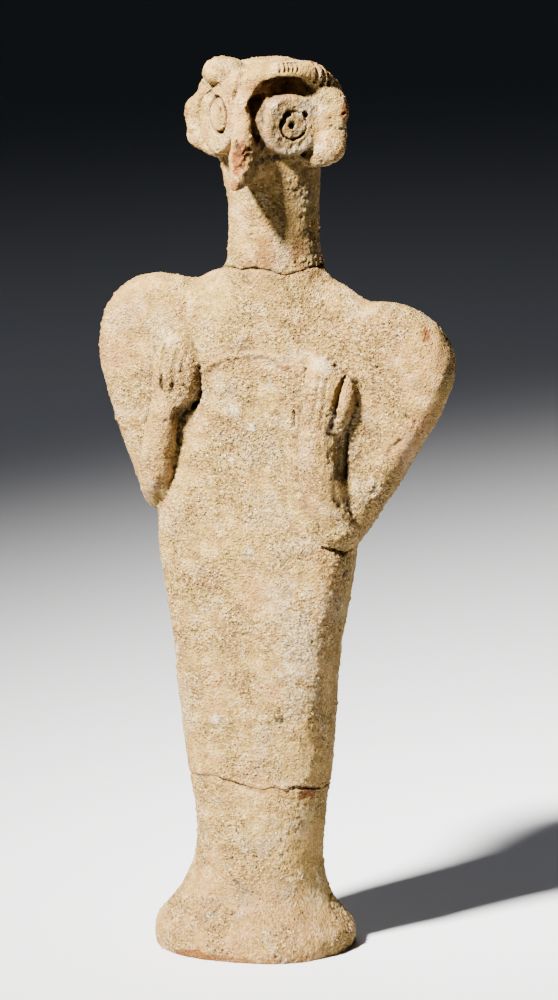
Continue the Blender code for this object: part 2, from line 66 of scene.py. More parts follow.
HEIGHT = 0.165  # metres, underside of the foot to the crown of the head
MM_PER_METRE = 1000
UNIT = HEIGHT / 1000  # one thousandth of the height, in metres
UNIT_MM = UNIT * MM_PER_METRE  # the same in millimetres
NODE = "clay_figurine"
BODY = "root"

CURVE_STEPS = 6  # straight pieces between two knots of an outline or a roll
BEVEL_STEPS = 4  # pieces round a rounded edge or half a roll
MERGE_DISTANCE = 1e-7  # metres; closer points are one
STROKE = 0.5  # how far one stroke takes a point towards the middle of its neighbours
SHORTEST = 1e-9  # square millimetres; stands in for the length of a path of one point


class Side(Enum):
    """A side of the figure, as the sign of its place across."""

    LEFT = 1
    RIGHT = -1


class Sherd(Enum):
    """The three sherds, by the names of their pieces."""

    HEAD = "head_and_neck"
    TRUNK = "trunk_and_arms"
    FOOT = "shin_and_foot"


class Stain(Enum):
    """What lies on the clay or shows through its skin, and painted shade, by the name of the layer that
    paints it.
    """

    FRESH = "fresh_clay"
    LIME = "lime_crust"
    # dark dirt, and painted shade in hollows, grooves, under the head and on shaded sides
    DIRT_AND_SHADE = "dirt_and_painted_shade"
    ASH = "grey_ash"
    WORN = "worn_skin"
    SAND = "bare_sand"


# Handling clay


def point(across: float, back: float, up: float) -> Vector:
    """A place given in thousandths of the height, as metres."""
    return Vector((across, back, up)) * UNIT


def linked(name: str, data: bpy.types.ID) -> bpy.types.Object:
    """A new object for this mesh or curve, in the scene."""
    obj = bpy.data.objects.new(name, data)
    bpy.context.scene.collection.objects.link(obj)
    return obj


def from_bmesh(name: str, bm: bmesh.types.BMesh) -> bpy.types.Object:
    """A new object from a bmesh, with its faces pointing out. The bmesh is used up."""
    bmesh.ops.recalc_face_normals(bm, faces=bm.faces)
    mesh = bpy.data.meshes.new(name)
    bm.to_mesh(mesh)
    bm.free()
    return linked(name, mesh)


def finished_mesh(obj: bpy.types.Object) -> bpy.types.Mesh:
    """The object's mesh with its modifiers and its place applied."""
    bpy.context.view_layer.update()
    graph = bpy.context.evaluated_depsgraph_get()
    mesh = bpy.data.meshes.new_from_object(obj.evaluated_get(graph))
    mesh.transform(obj.matrix_world)
    return mesh


def used_up(obj: bpy.types.Object) -> None:
    """Removes an object that has gone into another one."""
    bpy.data.objects.remove(obj, do_unlink=True)


def smooth_between(values: tuple[float, ...], stations: tuple[float, ...], at: float) -> float:
    """A smooth curve through a value at each station.

    Args:
        values: the value at each station.
        stations: where the stations are, in rising order.
        at: the place to read the curve at.

    Returns:
        The curve's value there.
    """
    i = max(0, min(len(stations) - 2, int(np.searchsorted(stations, at)) - 1))

    def slope(k: int) -> float:
        """The curve's slope at a station."""
        a, b = max(0, k - 1), min(len(stations) - 1, k + 1)
        return (values[b] - values[a]) / (stations[b] - stations[a])

    span = stations[i + 1] - stations[i]
    t = (at - stations[i]) / span
    return (
        values[i] * (2 * t**3 - 3 * t**2 + 1)
        + slope(i) * span * (t**3 - 2 * t**2 + t)
        + values[i + 1] * (3 * t**2 - 2 * t**3)
        + slope(i + 1) * span * (t**3 - t**2)
    )


def loft(name: str, rings: list[list[Vector]]) -> bpy.types.Object:
    """A closed skin over a stack of rings.

    Args:
        name: the new object's name.
        rings: the rings from bottom to top, all with the same number of points.

    Returns:
        The new object.
    """
    bm = bmesh.new()
    rows = [[bm.verts.new(p) for p in ring] for ring in rings]
    for lower, upper in zip(rows, rows[1:]):
        for i in range(len(lower)):
            j = (i + 1) % len(lower)
            bm.faces.new((lower[i], lower[j], upper[j], upper[i]))
    bm.faces.new(rows[0])
    bm.faces.new(rows[-1])
    return from_bmesh(name, bm)


def smooth_curve(
    name: str, dimensions: str, knots: list[tuple[float, float, float]], closed: bool
) -> bpy.types.Curve:
    """A smooth curve through knots.

    Args:
        name: the new curve's name.
        dimensions: "2D" or "3D".
        knots: its knots, in thousandths.
        closed: whether it runs back to its first knot.

    Returns:
        The new curve.
    """
    curve = bpy.data.curves.new(name, "CURVE")
    curve.dimensions = dimensions
    curve.resolution_u = CURVE_STEPS
    curve.bevel_resolution = BEVEL_STEPS
    spline = curve.splines.new("BEZIER")
    spline.use_cyclic_u = closed
    spline.bezier_points.add(len(knots) - 1)
    for knot, place in zip(spline.bezier_points, knots):
        knot.co = point(*place)
        knot.handle_left_type = knot.handle_right_type = "AUTO"
    return curve


def plate(
    name: str, outline: tuple[tuple[float, float], ...], half_thickness: float, edge_round: float
) -> bpy.types.Object:
    """A flat slab with a rounded edge, standing upright along the X axis.

    Args:
        name: the new object's name.
        outline: its corners as across and up, joined by a smooth curve.
        half_thickness: half of its thickness.
        edge_round: the radius of its rounded edge.

    Returns:
        The new object.
    """
    curve = smooth_curve(name, "2D", [(across, up, 0) for across, up in outline], closed=True)
    curve.fill_mode = "BOTH"
    curve.extrude = (half_thickness - edge_round) * UNIT
    curve.bevel_depth = edge_round * UNIT
    curve.offset = -edge_round * UNIT
    obj = linked(name, curve)
    obj.rotation_euler = (math.radians(90), 0, 0)
    return obj


def roll(name: str, path: tuple[tuple[float, float, float, float], ...]) -> bpy.types.Object:
    """A roll of clay along a path.

    Args:
        name: the new object's name.
        path: across, back, up and radius at each point.

    Returns:
        The new object.
    """
    curve = smooth_curve(name, "3D", [place for *place, _ in path], closed=False)
    curve.bevel_depth = UNIT
    curve.use_fill_caps = True
    for knot, (*_, radius) in zip(curve.splines[0].bezier_points, path):
        knot.radius = radius
    return linked(name, curve)


@dataclass(frozen=True)
class Pellet:
    """A ball of clay pressed out to three radii."""

    middle: tuple[float, float, float]
    radii: tuple[float, float, float]

    SIDES = 32
    RINGS = 20

    def build(self, name: str) -> bpy.types.Object:
        """The pellet as an object."""
        bm = bmesh.new()
        bmesh.ops.create_uvsphere(bm, u_segments=self.SIDES, v_segments=self.RINGS, radius=1.0)
        place = Matrix.Translation(point(*self.middle)) @ Matrix.Diagonal((*point(*self.radii), 1.0))
        bmesh.ops.transform(bm, matrix=place, verts=bm.verts)
        return from_bmesh(name, bm)


@dataclass(frozen=True)
class Groove:
    """A groove pressed along a path: half width, depth, and which way the tool pushes.

    It also reaches skin that lies as far as its slack before or behind the path, as the tool pushes. It
    holds this much dirt and painted shade; more than 1 fills its slopes too.
    """

    path: tuple[tuple[float, float, float], ...]
    half_width: float
    depth: float
    push: tuple[float, float, float] = (0, 1, 0)
    slack: float = 0.0
    dirt_and_shade: float = 0.0


def knead(name: str, pieces: list[bpy.types.Object], grain: float, passes: int) -> bpy.types.Object:
    """Presses overlapping pieces into one skin and smooths it. The pieces are used up.

    Args:
        name: the new object's name.
        pieces: closed pieces of clay.
        grain: the spacing of the new skin's points, in thousandths.
        passes: how many times the skin is stroked smooth.

    Returns:
        The kneaded mass.
    """
    bm = bmesh.new()
    for piece in pieces:
        mesh = finished_mesh(piece)
        bm.from_mesh(mesh)
        bpy.data.meshes.remove(mesh)
        used_up(piece)
    bmesh.ops.remove_doubles(bm, verts=bm.verts, dist=MERGE_DISTANCE)
    lump = from_bmesh(name, bm)
    remesh = lump.modifiers.new("knead", "REMESH")
    remesh.mode = "VOXEL"
    remesh.voxel_size = grain * UNIT
    smooth = lump.modifiers.new("stroke", "SMOOTH")
    smooth.factor = STROKE
    smooth.iterations = passes
    skin = finished_mesh(lump)
    used_up(lump)
    return linked(name, skin)


class Unevenness:
    """Seeded, repeatable unevenness that can be read anywhere in space."""

    CELLS = 64
    WAVE_SCALE = 1.7  # brings the waves to a height of about 1
    LAYER_SHARE = 0.55  # each layer's height, as a share of the one before
    LAYER_SHIFT = 7.3  # millimetres; keeps the layers from repeating each other

    def __init__(self, seed: int) -> None:
        """Draws the random tables."""
        rng = np.random.default_rng(seed)
        slopes = rng.normal(size=(self.CELLS,) * 3 + (3,))
        self.slopes = slopes / np.linalg.norm(slopes, axis=-1, keepdims=True)
        self.spots = rng.random((self.CELLS,) * 3 + (3,))
        self.numbers = rng.random((self.CELLS,) * 3)

    def waves(self, places: np.ndarray, size: float) -> np.ndarray:
        """Smooth ups and downs between about -1 and 1.

        Args:
            places: rows of three numbers, in millimetres.
            size: the distance between two waves, in millimetres.

        Returns:
            One number for each place.
        """
        spots = places / size
        cell = np.floor(spots).astype(int)
        inside = spots - cell
        fade = inside**3 * (inside * (inside * 6 - 15) + 10)
        total = np.zeros(len(places))
        for corner in itertools.product((0, 1), repeat=3):
            slope = self.slopes[tuple(((cell + corner) % self.CELLS).T)]
            share = np.prod(np.where(np.array(corner, bool), fade, 1 - fade), axis=1)
            total += share * np.einsum("ij,ij->i", slope, inside - corner)
        return total * self.WAVE_SCALE

    def layered(self, places: np.ndarray, size: float, layers: int = 3) -> np.ndarray:
        """Waves with smaller waves on them, each half as long and a little over half as high."""
        heights = [
            self.LAYER_SHARE**k * self.waves(places + self.LAYER_SHIFT * k, size / 2**k)
            for k in range(layers)
        ]
        return np.sum(heights, axis=0)

    def scattered(self, places: np.ndarray, size: float) -> tuple[np.ndarray, np.ndarray]:
        """Grains scattered about one to a cell.

        Args:
            places: rows of three numbers, in millimetres.
            size: the cells' size, in millimetres.

        Returns:
            How far the nearest grain's middle is, in millimetres, and that grain's number from 0 to 1.
        """
        spots = places / size
        cell = np.floor(spots).astype(int)
        nearest = np.full(len(places), np.inf)
        number = np.zeros(len(places))
        for step in itertools.product((-1, 0, 1), repeat=3):
            index = tuple(((cell + step) % self.CELLS).T)
            gap = np.linalg.norm(cell + step + self.spots[index] - spots, axis=1)
            closer = gap < nearest
            nearest[closer] = gap[closer]
            number[closer] = self.numbers[index][closer]
        return nearest * size, number


def rising(values: np.ndarray, low: float, high: float) -> np.ndarray:
    """0 below low and 1 above high, with a smooth rise between. High may be below low."""
    t = np.clip((values - low) / (high - low), 0, 1)
    return t * t * (3 - 2 * t)


class Skin:
    """The points of a mesh, worked on as numbers in millimetres and then put back."""

    def __init__(self, obj: bpy.types.Object) -> None:
        """Reads the mesh of an object that stands at the origin."""
        self.mesh = obj.data
        pairs = np.empty(len(self.mesh.edges) * 2, int)
        self.mesh.edges.foreach_get("vertices", pairs)
        self.pairs = pairs.reshape(-1, 2)
        self.places = self._read("co") * MM_PER_METRE
        self.normals = self._read("normal")

    def _read(self, name: str) -> np.ndarray:
        """A vector of each of the mesh's points, as rows of three numbers."""
        values = np.empty(len(self.mesh.vertices) * 3)
        self.mesh.vertices.foreach_get(name, values)
        return values.reshape(-1, 3)

    def put_back(self) -> None:
        """Writes the places to the mesh and reads the normals that follow from them."""
        self.mesh.vertices.foreach_set("co", (self.places / MM_PER_METRE).ravel())
        self.mesh.update()
        self.normals = self._read("normal")

    def raise_by(self, heights: np.ndarray) -> None:
        """Raises each point by its height in millimetres."""
        self.places += self.normals * heights[:, None]
        self.put_back()

    def gap_to(self, groove: Groove) -> np.ndarray:
        """How far each point is from a groove's path, in millimetres."""
        nearest = np.full(len(self.places), np.inf)
        push = np.array(groove.push) / np.linalg.norm(groove.push)
        slack = groove.slack * UNIT_MM
        corners = [np.array(p) * UNIT_MM for p in groove.path]
        for a, b in zip(corners, corners[1:]):
            along = b - a
            share = np.clip((self.places - a) @ along / max(along @ along, SHORTEST), 0, 1)
            away = self.places - a - share[:, None] * along
            away -= np.clip(away @ push, -slack, slack)[:, None] * push
            nearest = np.minimum(nearest, np.linalg.norm(away, axis=1))
        return nearest

    def press(self, grooves: list[Groove], reach: float = 1.6) -> None:
        """Pushes the skin in along grooves.

        Args:
            grooves: the grooves, in thousandths.
            reach: how far a groove's sloping sides reach, in half widths.
        """
        moved = self.places.copy()
        for groove in grooves:
            push = np.array(groove.push) / np.linalg.norm(groove.push)
            share = self.gap_to(groove) / (reach * groove.half_width * UNIT_MM)
            fade = np.clip(1 - share**2, 0, 1) ** 2
            # skin that looks away from the tool stays where it is
            fade[self.normals @ push > 0] = 0
            moved += (fade * groove.depth * UNIT_MM)[:, None] * push
        self.places = moved
        self.put_back()

    def spread(self, values: np.ndarray, passes: int) -> np.ndarray:
        """Evens out a value, or a row of values, between neighbouring points."""
        a, b = self.pairs.T
        count = len(self.mesh.vertices)
        neighbours = np.bincount(a, minlength=count) + np.bincount(b, minlength=count)
        columns = values.reshape(count, -1).T.copy()
        for _ in range(passes):
            for i, column in enumerate(columns):
                total = np.bincount(a, column[b], count) + np.bincount(b, column[a], count)
                columns[i] = 0.5 * column + 0.5 * total / neighbours
        return columns.T.reshape(values.shape)

    def hollowness(self, passes: int) -> np.ndarray:
        """How far each point lies below the evened-out skin, in millimetres."""
        return np.einsum("ij,ij->i", self.spread(self.places, passes) - self.places, self.normals)

    def paint(self, stain: Stain, values: np.ndarray) -> None:
        """Stores how much of a stain each point carries, for the material to read."""
        layer = self.mesh.attributes.new(stain.value, "FLOAT", "POINT")
        layer.data.foreach_set("value", np.clip(values, 0, 1))


# The figure's parts


@dataclass(frozen=True)
class Station:
    """A level of the shaft: its middle, half width, half depth, and how square its outline is."""

    height: float
    middle_x: float
    middle_y: float
    half_width: float
    half_depth: float
    squareness: float


class ClayPart:
    """What each part of the figure gives to the whole. A part gives only what it has."""

    def masses(self) -> list[bpy.types.Object]:
        """Pieces that are kneaded into the big mass and stroked smooth."""
        return []

    def added(self) -> list[bpy.types.Object]:
        """Pieces pressed on afterwards."""
        return []

    def pellets(self) -> list[bpy.types.Object]:
        """Pieces pressed on last, whose edges stay crisp."""
        return []

    def hollows(self) -> list[Groove]:
        """Deep hollows pressed in while the clay is soft."""
        return []

    def lines(self) -> list[Groove]:
        """Fine lines drawn in the finished skin."""
        return []


@dataclass(frozen=True)
class Shaft(ClayPart):
    """The core of the figure: foot, shin, trunk and neck, rolled and squared between the palms."""

    stations: tuple[Station, ...] = (
        Station(-15, 0, 0, 106, 98, 2.3),
        Station(0, 0, 0, 107, 101, 2.3),
        Station(9, 0, 0, 110, 102, 2.3),
        Station(19, -1, 0, 111, 101, 2.2),
        Station(29, -2, 0, 107, 95, 2.2),
        Station(40, -3, 0, 98, 86, 2.1),
        Station(52, -3, 0, 89, 78, 2.1),
        Station(64, -1, 0, 82, 72, 2.1),
        Station(76, 0, 0, 77, 68, 2.1),
        Station(90, 2, 0, 73, 64, 2.2),
        Station(107, 4, 0, 71, 62, 2.2),
        Station(129, 5, 0, 71, 59, 2.3),
        Station(163, 5, 0, 73, 57, 2.5),
        Station(186, 5, 1, 77, 55, 3.0),
        Station(220, 4, 1, 80, 53, 3.6),
        Station(275, 2, 1, 85, 52, 4.0),
        Station(332, 2, 1, 90, 51, 4.2),
        Station(388, 3, 1, 98, 50, 4.4),
        Station(444, 2, 1, 108, 49, 4.2),
        Station(495, 4, 1, 112, 46, 3.4),
        Station(571, 12, 1, 108, 41, 2.7),
        Station(648, 16, 0, 104, 38, 2.5),
        Station(703, 20, 0, 91, 37, 2.3),
        Station(734, 21, 0, 70, 39, 2.2),
        Station(753, 23, 0, 59, 42, 2.1),
        Station(769, 23, 0, 54, 45, 2.1),
        Station(791, 21, 0, 50, 46, 2.0),
        Station(814, 21, 0, 49, 46, 2.0),
        Station(841, 21, -1, 50.5, 46, 2.0),
        Station(868, 19, -3, 55, 48, 2.0),
        Station(896, 17, -5, 58, 50, 2.0),
        Station(923, 16, -6, 55, 50, 2.0),
    )
    sides: int = 48
    ring_step: float = 6.0

    def masses(self) -> list[bpy.types.Object]:
        """The shaft, skinned over superellipses that follow the stations."""
        heights = tuple(s.height for s in self.stations)
        rings = []
        for z in np.arange(heights[0], heights[-1] + 0.5 * self.ring_step, self.ring_step):
            middle_x, middle_y, half_width, half_depth, squareness = (
                smooth_between(tuple(getattr(s, size) for s in self.stations), heights, z)
                for size in ("middle_x", "middle_y", "half_width", "half_depth", "squareness")
            )
            ring = []
            for k in range(self.sides):
                turn = 2 * math.pi * k / self.sides
                c, s = math.cos(turn), math.sin(turn)
                x = math.copysign(abs(c) ** (2 / squareness), c) * half_width
                y = math.copysign(abs(s) ** (2 / squareness), s) * half_depth
                ring.append(point(middle_x + x, middle_y + y, z))
            rings.append(ring)
        return [loft("shaft", rings)]


@dataclass(frozen=True)
class Shoulders(ClayPart):
    """The flat slab of shoulders and upper arms, with the pads that thicken it."""

    outline: tuple[tuple[float, float], ...] = (
        ((21, 712), (-52, 734), (-105, 746), (-143, 739), (-171, 712), (-182, 660), (-168, 603))
        + ((-141, 530), (-126, 499), (-106, 486), (-80, 476), (60, 450), (106, 452), (143, 497))
        + ((188, 567), (219, 622), (229, 663), (221, 692), (194, 719), (147, 730), (108, 724))
    )
    half_thickness: float = 31.0
    edge_round: float = 25.0
    pads: tuple[Pellet, ...] = (
        Pellet((19, 0, 620), (165, 42, 150)),
        Pellet((-78, 0, 640), (80, 38, 84)),
        Pellet((122, 0, 622), (86, 38, 84)),
    )
    # a faint ridge drawn across the chest, a smear of clay above it, and nicks in the slab's lower
    # left edge
    drawn: tuple[Groove, ...] = (
        Groove(
            ((-50, -40, 648), (-37, -40, 658), (-22, -40, 665), (-8, -40, 669))
            + ((8, -40, 672), (24, -40, 673), (40, -40, 669), (50, -40, 661)),
            3.2,
            -3.2,
            (0, 1, 0),
            8,
        ),
        Groove(((-7, -40, 684), (2, -40, 690)), 7.0, -5.0, (0, 1, 0), 8),
        Groove(((186, -30, 612), (192, -22, 604), (197, -14, 596)), 2.6, 2.6, (-0.3, 1, 0), 6),
        Groove(((166, -30, 572), (176, -24, 584)), 2.8, 2.6, (-0.4, 1, 0), 6),
    )

    def masses(self) -> list[bpy.types.Object]:
        """The slab and its pads."""
        slab = plate("shoulders", self.outline, self.half_thickness, self.edge_round)
        slab.location = point(0, 1, 0)
        return [slab, *(pad.build("pad") for pad in self.pads)]

    def lines(self) -> list[Groove]:
        """The ridge, the smear and the nicks."""
        return list(self.drawn)


@dataclass(frozen=True)
class FaceLevel:
    """A level of the face: its ridge's reach and half width, and the cheeks' half width and place."""

    up: float
    forward: float
    ridge: float
    cheek: float
    cheek_back: float


@dataclass(frozen=True)
class Head(ClayPart):
    """Skull, crown, forehead and the pinched wedge of brow and beak."""

    skull: Pellet = Pellet((18, -6, 934), (62, 55, 52))
    crown: Pellet = Pellet((19, -4, 966), (63, 54, 28))
    forehead: Pellet = Pellet((0, -42, 962), (34, 32, 26))
    right_temple: Pellet = Pellet((-22, -40, 981), (24, 27, 17))
    beak_across: float = 16.0
    beak_top: float = 900
    beak_tilt: float = 0.18
    right_wall: float = 3.0
    left_wall: float = 24.0
    left_spread: float = 0.2
    # the back of the wedge, inside the skull: its width as a share of the cheeks', and its place
    back_share: float = 0.8
    back: float = 10.0
    levels: tuple[FaceLevel, ...] = (
        FaceLevel(986, 60, 24, 46, -14),
        FaceLevel(976, 77, 21, 58, -20),
        FaceLevel(955, 86, 17, 62, -22),
        FaceLevel(930, 92, 14, 60, -23),
        FaceLevel(908, 98, 12.5, 50, -27),
        FaceLevel(892, 103, 11, 40, -32),
        FaceLevel(879, 108, 9, 32, -36),
        FaceLevel(870, 112, 6.5, 24, -38),
        FaceLevel(862, 110, 5, 16, -42),
    )

    def masses(self) -> list[bpy.types.Object]:
        """Skull and crown."""
        return [self.skull.build("skull"), self.crown.build("crown")]

    def added(self) -> list[bpy.types.Object]:
        """The face and the forehead."""
        return [self._face(), self.forehead.build("forehead")]

    def pellets(self) -> list[bpy.types.Object]:
        """The lump on the right temple."""
        return [self.right_temple.build("temple")]

    def lines(self) -> list[Groove]:
        """A rough dent under the lump, and the fold beside it."""
        return [
            Groove(((-48, -40, 962), (-32, -56, 958)), 6.5, 4.5, (0.6, 1, 0.3)),
            Groove(
                ((-2, -34, 998), (5, -58, 992), (9, -74, 979), (4, -76, 962)),
                4.2,
                8.0,
                (0.2, 1, -0.5),
                4,
            ),
        ]

    def _face(self) -> bpy.types.Object:
        """The wedge of brow, cheeks and beak."""
        rings = []
        for level in self.levels:
            front, ridge, cheek = -level.forward, level.ridge, level.cheek
            outline = [
                (-cheek, level.cheek_back),
                (-ridge - self.right_wall / 2, front + ridge + self.right_wall),
                (-ridge, front + ridge),
                (-ridge / 2, front),
                (ridge / 2, front),
                (ridge, front + ridge),
                (ridge + self.left_wall * self.left_spread, front + ridge + self.left_wall),
                (cheek, level.cheek_back),
                (cheek * self.back_share, self.back),
                (-cheek * self.back_share, self.back),
            ]
            tilt = self.beak_tilt if level.up < self.beak_top else 0
            places = ((self.beak_across + x, y, level.up + tilt * (y - front)) for x, y in outline)
            rings.append([point(*place) for place in places])
        return loft("face", rings)


@dataclass(frozen=True)
class Cuts:
    """Cuts of one size across the headband: where, how wide and deep, and between which heights.

    The angles are the headband's own, and the heights of their ends are in radii of its roll.
    """

    angles: tuple[float, ...]
    half_width: float
    depth: float
    ends: tuple[float, float]


@dataclass(frozen=True)
class Headband(ClayPart):
    """A roll of clay round the brow to the left temple, cut across with the edge of a stick."""

    # the angle round the head from the middle of the brow, how high the roll runs there, and its radius
    course: tuple[tuple[float, float, float], ...] = (
        (-15, 974, 7),
        (0, 980, 10),
        (15, 985, 12.5),
        (35, 989, 12.5),
        (55, 986, 12.5),
        (75, 971, 12),
        (90, 959, 10),
    )
    middle_across: float = 20.0
    reach: float = 69.0
    radius: float = 12.5
    knots: int = 11
    cuts: tuple[Cuts, ...] = (
        Cuts((26.3, 30.2, 33.6, 37, 40.5), 1.3, 3.0, (0.85, 0.2)),
        Cuts((57, 63.5, 69), 1.9, 9.0, (0.9, -0.7)),
    )
    # how far a cut's ends lie behind its middle, in degrees, and how much the stick is pushed down
    bow: float = 1.0
    push_down: float = 0.3

    def _spot(self, angle: float, out: float, rise: float) -> tuple[float, float, float]:
        """A place at this angle, this far out from the head's middle and above the roll's middle."""
        angles, heights, _ = zip(*self.course)
        turn = math.radians(angle)
        up = smooth_between(heights, angles, angle) + rise
        return (self.middle_across + out * math.sin(turn), -out * math.cos(turn), up)

    def added(self) -> list[bpy.types.Object]:
        """The roll."""
        angles, _, radii = zip(*self.course)
        path = tuple(
            (*self._spot(angle, self.reach, 0), smooth_between(radii, angles, angle))
            for angle in np.linspace(angles[0], angles[-1], self.knots)
        )
        return [roll("headband", path)]

    def _cut(self, cuts: Cuts, angle: float) -> Groove:
        """One of these cuts, over the front of the roll."""
        top, bottom = cuts.ends
        path = tuple(
            self._spot(angle - bow, self.reach + self.radius * math.sqrt(1 - end**2), self.radius * end)
            for bow, end in ((self.bow, top), (0, (top + bottom) / 2), (self.bow, bottom))
        )
        turn = math.radians(angle)
        push = (-math.sin(turn), math.cos(turn), -self.push_down)
        return Groove(path, cuts.half_width, cuts.depth, push)

    def lines(self) -> list[Groove]:
        """The cuts, deeper towards the temple."""
        return [self._cut(cuts, angle) for cuts in self.cuts for angle in cuts.angles]


@dataclass(frozen=True)
class Ear(ClayPart):
    """A flat, wavy plate pinched out at one side of the head, with a thick lobe."""

    side: Side
    outline: tuple[tuple[float, float], ...]
    lobe: Pellet
    folds: tuple[Groove, ...]
    middle_across: float = 20.0
    root_back: float = -44.0
    turn: float = math.radians(17)
    half_thickness: float = 13.0
    edge_round: float = 10.0

    def added(self) -> list[bpy.types.Object]:
        """The plate, turned a little to the side."""
        sign = self.side.value
        turned = tuple((sign * across / math.cos(self.turn), up) for across, up in self.outline)
        ear = plate("ear", turned, self.half_thickness, self.edge_round)
        ear.rotation_euler = (math.radians(90), 0, sign * self.turn)
        ear.location = point(self.middle_across, self.root_back, 0)
        return [ear]

    def pellets(self) -> list[bpy.types.Object]:
        """The lobe."""
        return [self.lobe.build("lobe")]

    def lines(self) -> list[Groove]:
        """Folds and splits of the plate."""
        return list(self.folds)


@dataclass(frozen=True)
class Arc:
    """Part of a groove round an eye: from one angle to another at a radius, its half width and depth.

    It is pushed in with this much lift, starts this far below the eye's flat face, and holds this much
    dirt and painted shade.
    """

    start: float
    end: float
    radius: float
    half_width: float
    depth: float
    lift: float = 0.0
    sunk: float = 0.0
    dirt_and_shade: float = 0.0


@dataclass(frozen=True)
class Eye(ClayPart):
    """A flat round pellet with a reed's ring and a stick's hole in it, set in its socket."""

    side: Side
    across: float
    back: float
    up: float
    radius: float
    ring: tuple[Arc, ...]
    pupil: tuple[float, float]
    pupil_radius: float
    socket: tuple[Arc, ...]
    turn: float
    ring_middle: tuple[float, float] = (0.0, 0.0)
    middle_across: float = 20.0
    thickness: float = 34.0
    edge_round: float = 4.0
    ring_slack: float = 4.0
    # how much painted shade darkens the stick's hole
    pupil_shade: float = 1.6

    SIDES = 64
    RIM_STEPS = 4
    SHARP = 1.0  # radians between the faces on both sides of the rim
    ARC_POINTS = 25
    PUPIL_DEPTH = 2.4  # in radii

    def _frame(self) -> Matrix:
        """Where the eye sits, with local +Z looking out of it and local +Y up."""
        sign = self.side.value
        out = Vector((sign * math.sin(self.turn), -math.cos(self.turn), 0))
        place = Matrix.Translation(point(self.middle_across + sign * self.across, self.back, self.up))
        return place @ out.to_track_quat("Z", "Y").to_matrix().to_4x4()

    def _spot(self, x: float, y: float, sunk: float = 0.0) -> tuple[float, float, float]:
        """A place on the eye's flat face, or this far below it."""
        return tuple(self._frame() @ (Vector((x, y, -sunk)) * UNIT) / UNIT)

    def pellets(self) -> list[bpy.types.Object]:
        """The pellet, with a rounded rim."""
        bm = bmesh.new()
        bmesh.ops.create_cone(
            bm,
            cap_ends=True,
            segments=self.SIDES,
            radius1=self.radius * UNIT,
            radius2=self.radius * UNIT,
            depth=self.thickness * UNIT,
        )
        rim = [e for e in bm.edges if e.calc_face_angle() > self.SHARP]
        offset = self.edge_round * UNIT
        bmesh.ops.bevel(
            bm, geom=rim, offset=offset, segments=self.RIM_STEPS, affect="EDGES", profile=0.5
        )
        sink = Matrix.Translation((0, 0, -self.thickness / 2 * UNIT))
        bmesh.ops.transform(bm, matrix=self._frame() @ sink, verts=bm.verts)
        return [from_bmesh("eye", bm)]

    def _arcs(
        self, arcs: tuple[Arc, ...], middle: tuple[float, float] = (0.0, 0.0), slack: float = 0.0
    ) -> list[Groove]:
        """These arcs round this place on the eye, as grooves with this much slack."""
        grooves = []
        across, up = middle
        for arc in arcs:
            turns = np.radians(np.linspace(arc.start, arc.end, self.ARC_POINTS))
            path = tuple(
                self._spot(across + arc.radius * math.cos(t), up + arc.radius * math.sin(t), arc.sunk)
                for t in turns
            )
            push = self._frame().to_3x3() @ Vector((0, arc.lift, -1))
            grooves.append(Groove(path, arc.half_width, arc.depth, tuple(push), slack, arc.dirt_and_shade))
        return grooves

    def hollows(self) -> list[Groove]:
        """The socket round the pellet."""
        return self._arcs(self.socket)

    def lines(self) -> list[Groove]:
        """The reed's ring, darkened with dirt and painted shade, and the stick's hole, darkened with
        painted shade.
        """
        push = tuple(self._frame().to_3x3() @ Vector((0, 0, -1)))
        pupil = self._spot(*self.pupil)
        depth = self.PUPIL_DEPTH * self.pupil_radius
        hole = Groove((pupil, pupil), self.pupil_radius, depth, push, self.ring_slack, self.pupil_shade)
        return [*self._arcs(self.ring, self.ring_middle, self.ring_slack), hole]


@dataclass(frozen=True)
class Arm(ClayPart):
    """A forearm rolled up the chest, a flat hand, and the lines of its fingers."""

    side: Side
    forearm: tuple[tuple[float, float, float, float], ...]
    hand: Pellet
    slits: tuple[Groove, ...]
    fingers: tuple[Groove, ...]
    thumb: tuple[tuple[float, float, float, float], ...] = ()
    pads: tuple[Pellet, ...] = ()

    def added(self) -> list[bpy.types.Object]:
        """The forearm and hand, the thumb where it has clay of its own, and the pads round them."""
        pieces = [roll("forearm", self.forearm), self.hand.build("hand")]
        if self.thumb:
            pieces.append(roll("thumb", self.thumb))
        return pieces + [pad.build("pad") for pad in self.pads]

    def hollows(self) -> list[Groove]:
        """The slits that part the arm from the chest."""
        return list(self.slits)

    def lines(self) -> list[Groove]:
        """The lines between the fingers."""
        return list(self.fingers)


SLANT = (0.15, 1, 0)  # the way the stick is pushed in along the arms

LEFT_EAR = Ear(
    Side.LEFT,
    ((48, 884), (67, 881), (75, 884), (84, 892), (90, 905), (92, 915), (90, 924))
    + ((93, 942), (91, 951), (87, 961), (76, 969), (62, 976), (48, 970)),
    Pellet((92, -25, 905), (21, 17, 21)),
    (
        Groove(
            ((86, -40, 929), (98, -36, 926), (108, -32, 924), (115, -22, 923)),
            1.5,
            5.0,
            (-0.4, 1, 0),
        ),
        Groove(((111, -34, 938), (113, -27, 941)), 1.9, 3.6, (-0.8, 0.6, 0)),
        Groove(((100, -38, 953), (101, -38, 938)), 2.5, 2.0, (-0.4, 1, 0)),
    ),
)
RIGHT_EAR = Ear(
    Side.RIGHT,
    ((46, 887), (60, 886), (73, 892), (82, 897), (89, 908), (92, 920), (93, 935))
    + ((91, 944), (84, 950), (77, 957), (72, 968), (60, 976), (46, 970)),
    Pellet((-52, -24, 908), (20, 14, 18)),
    (
        Groove(((-66, -36, 953), (-54, -40, 944), (-46, -44, 934)), 3.4, 3.0, (0.5, 1, 0)),
        Groove(((-60, -36, 922), (-60, -36, 921)), 2.4, 4.5, (0.5, 1, 0)),
        Groove(((-70, -34, 908), (-56, -38, 914)), 3.0, 2.5, (0.5, 1, 0)),
    ),
)
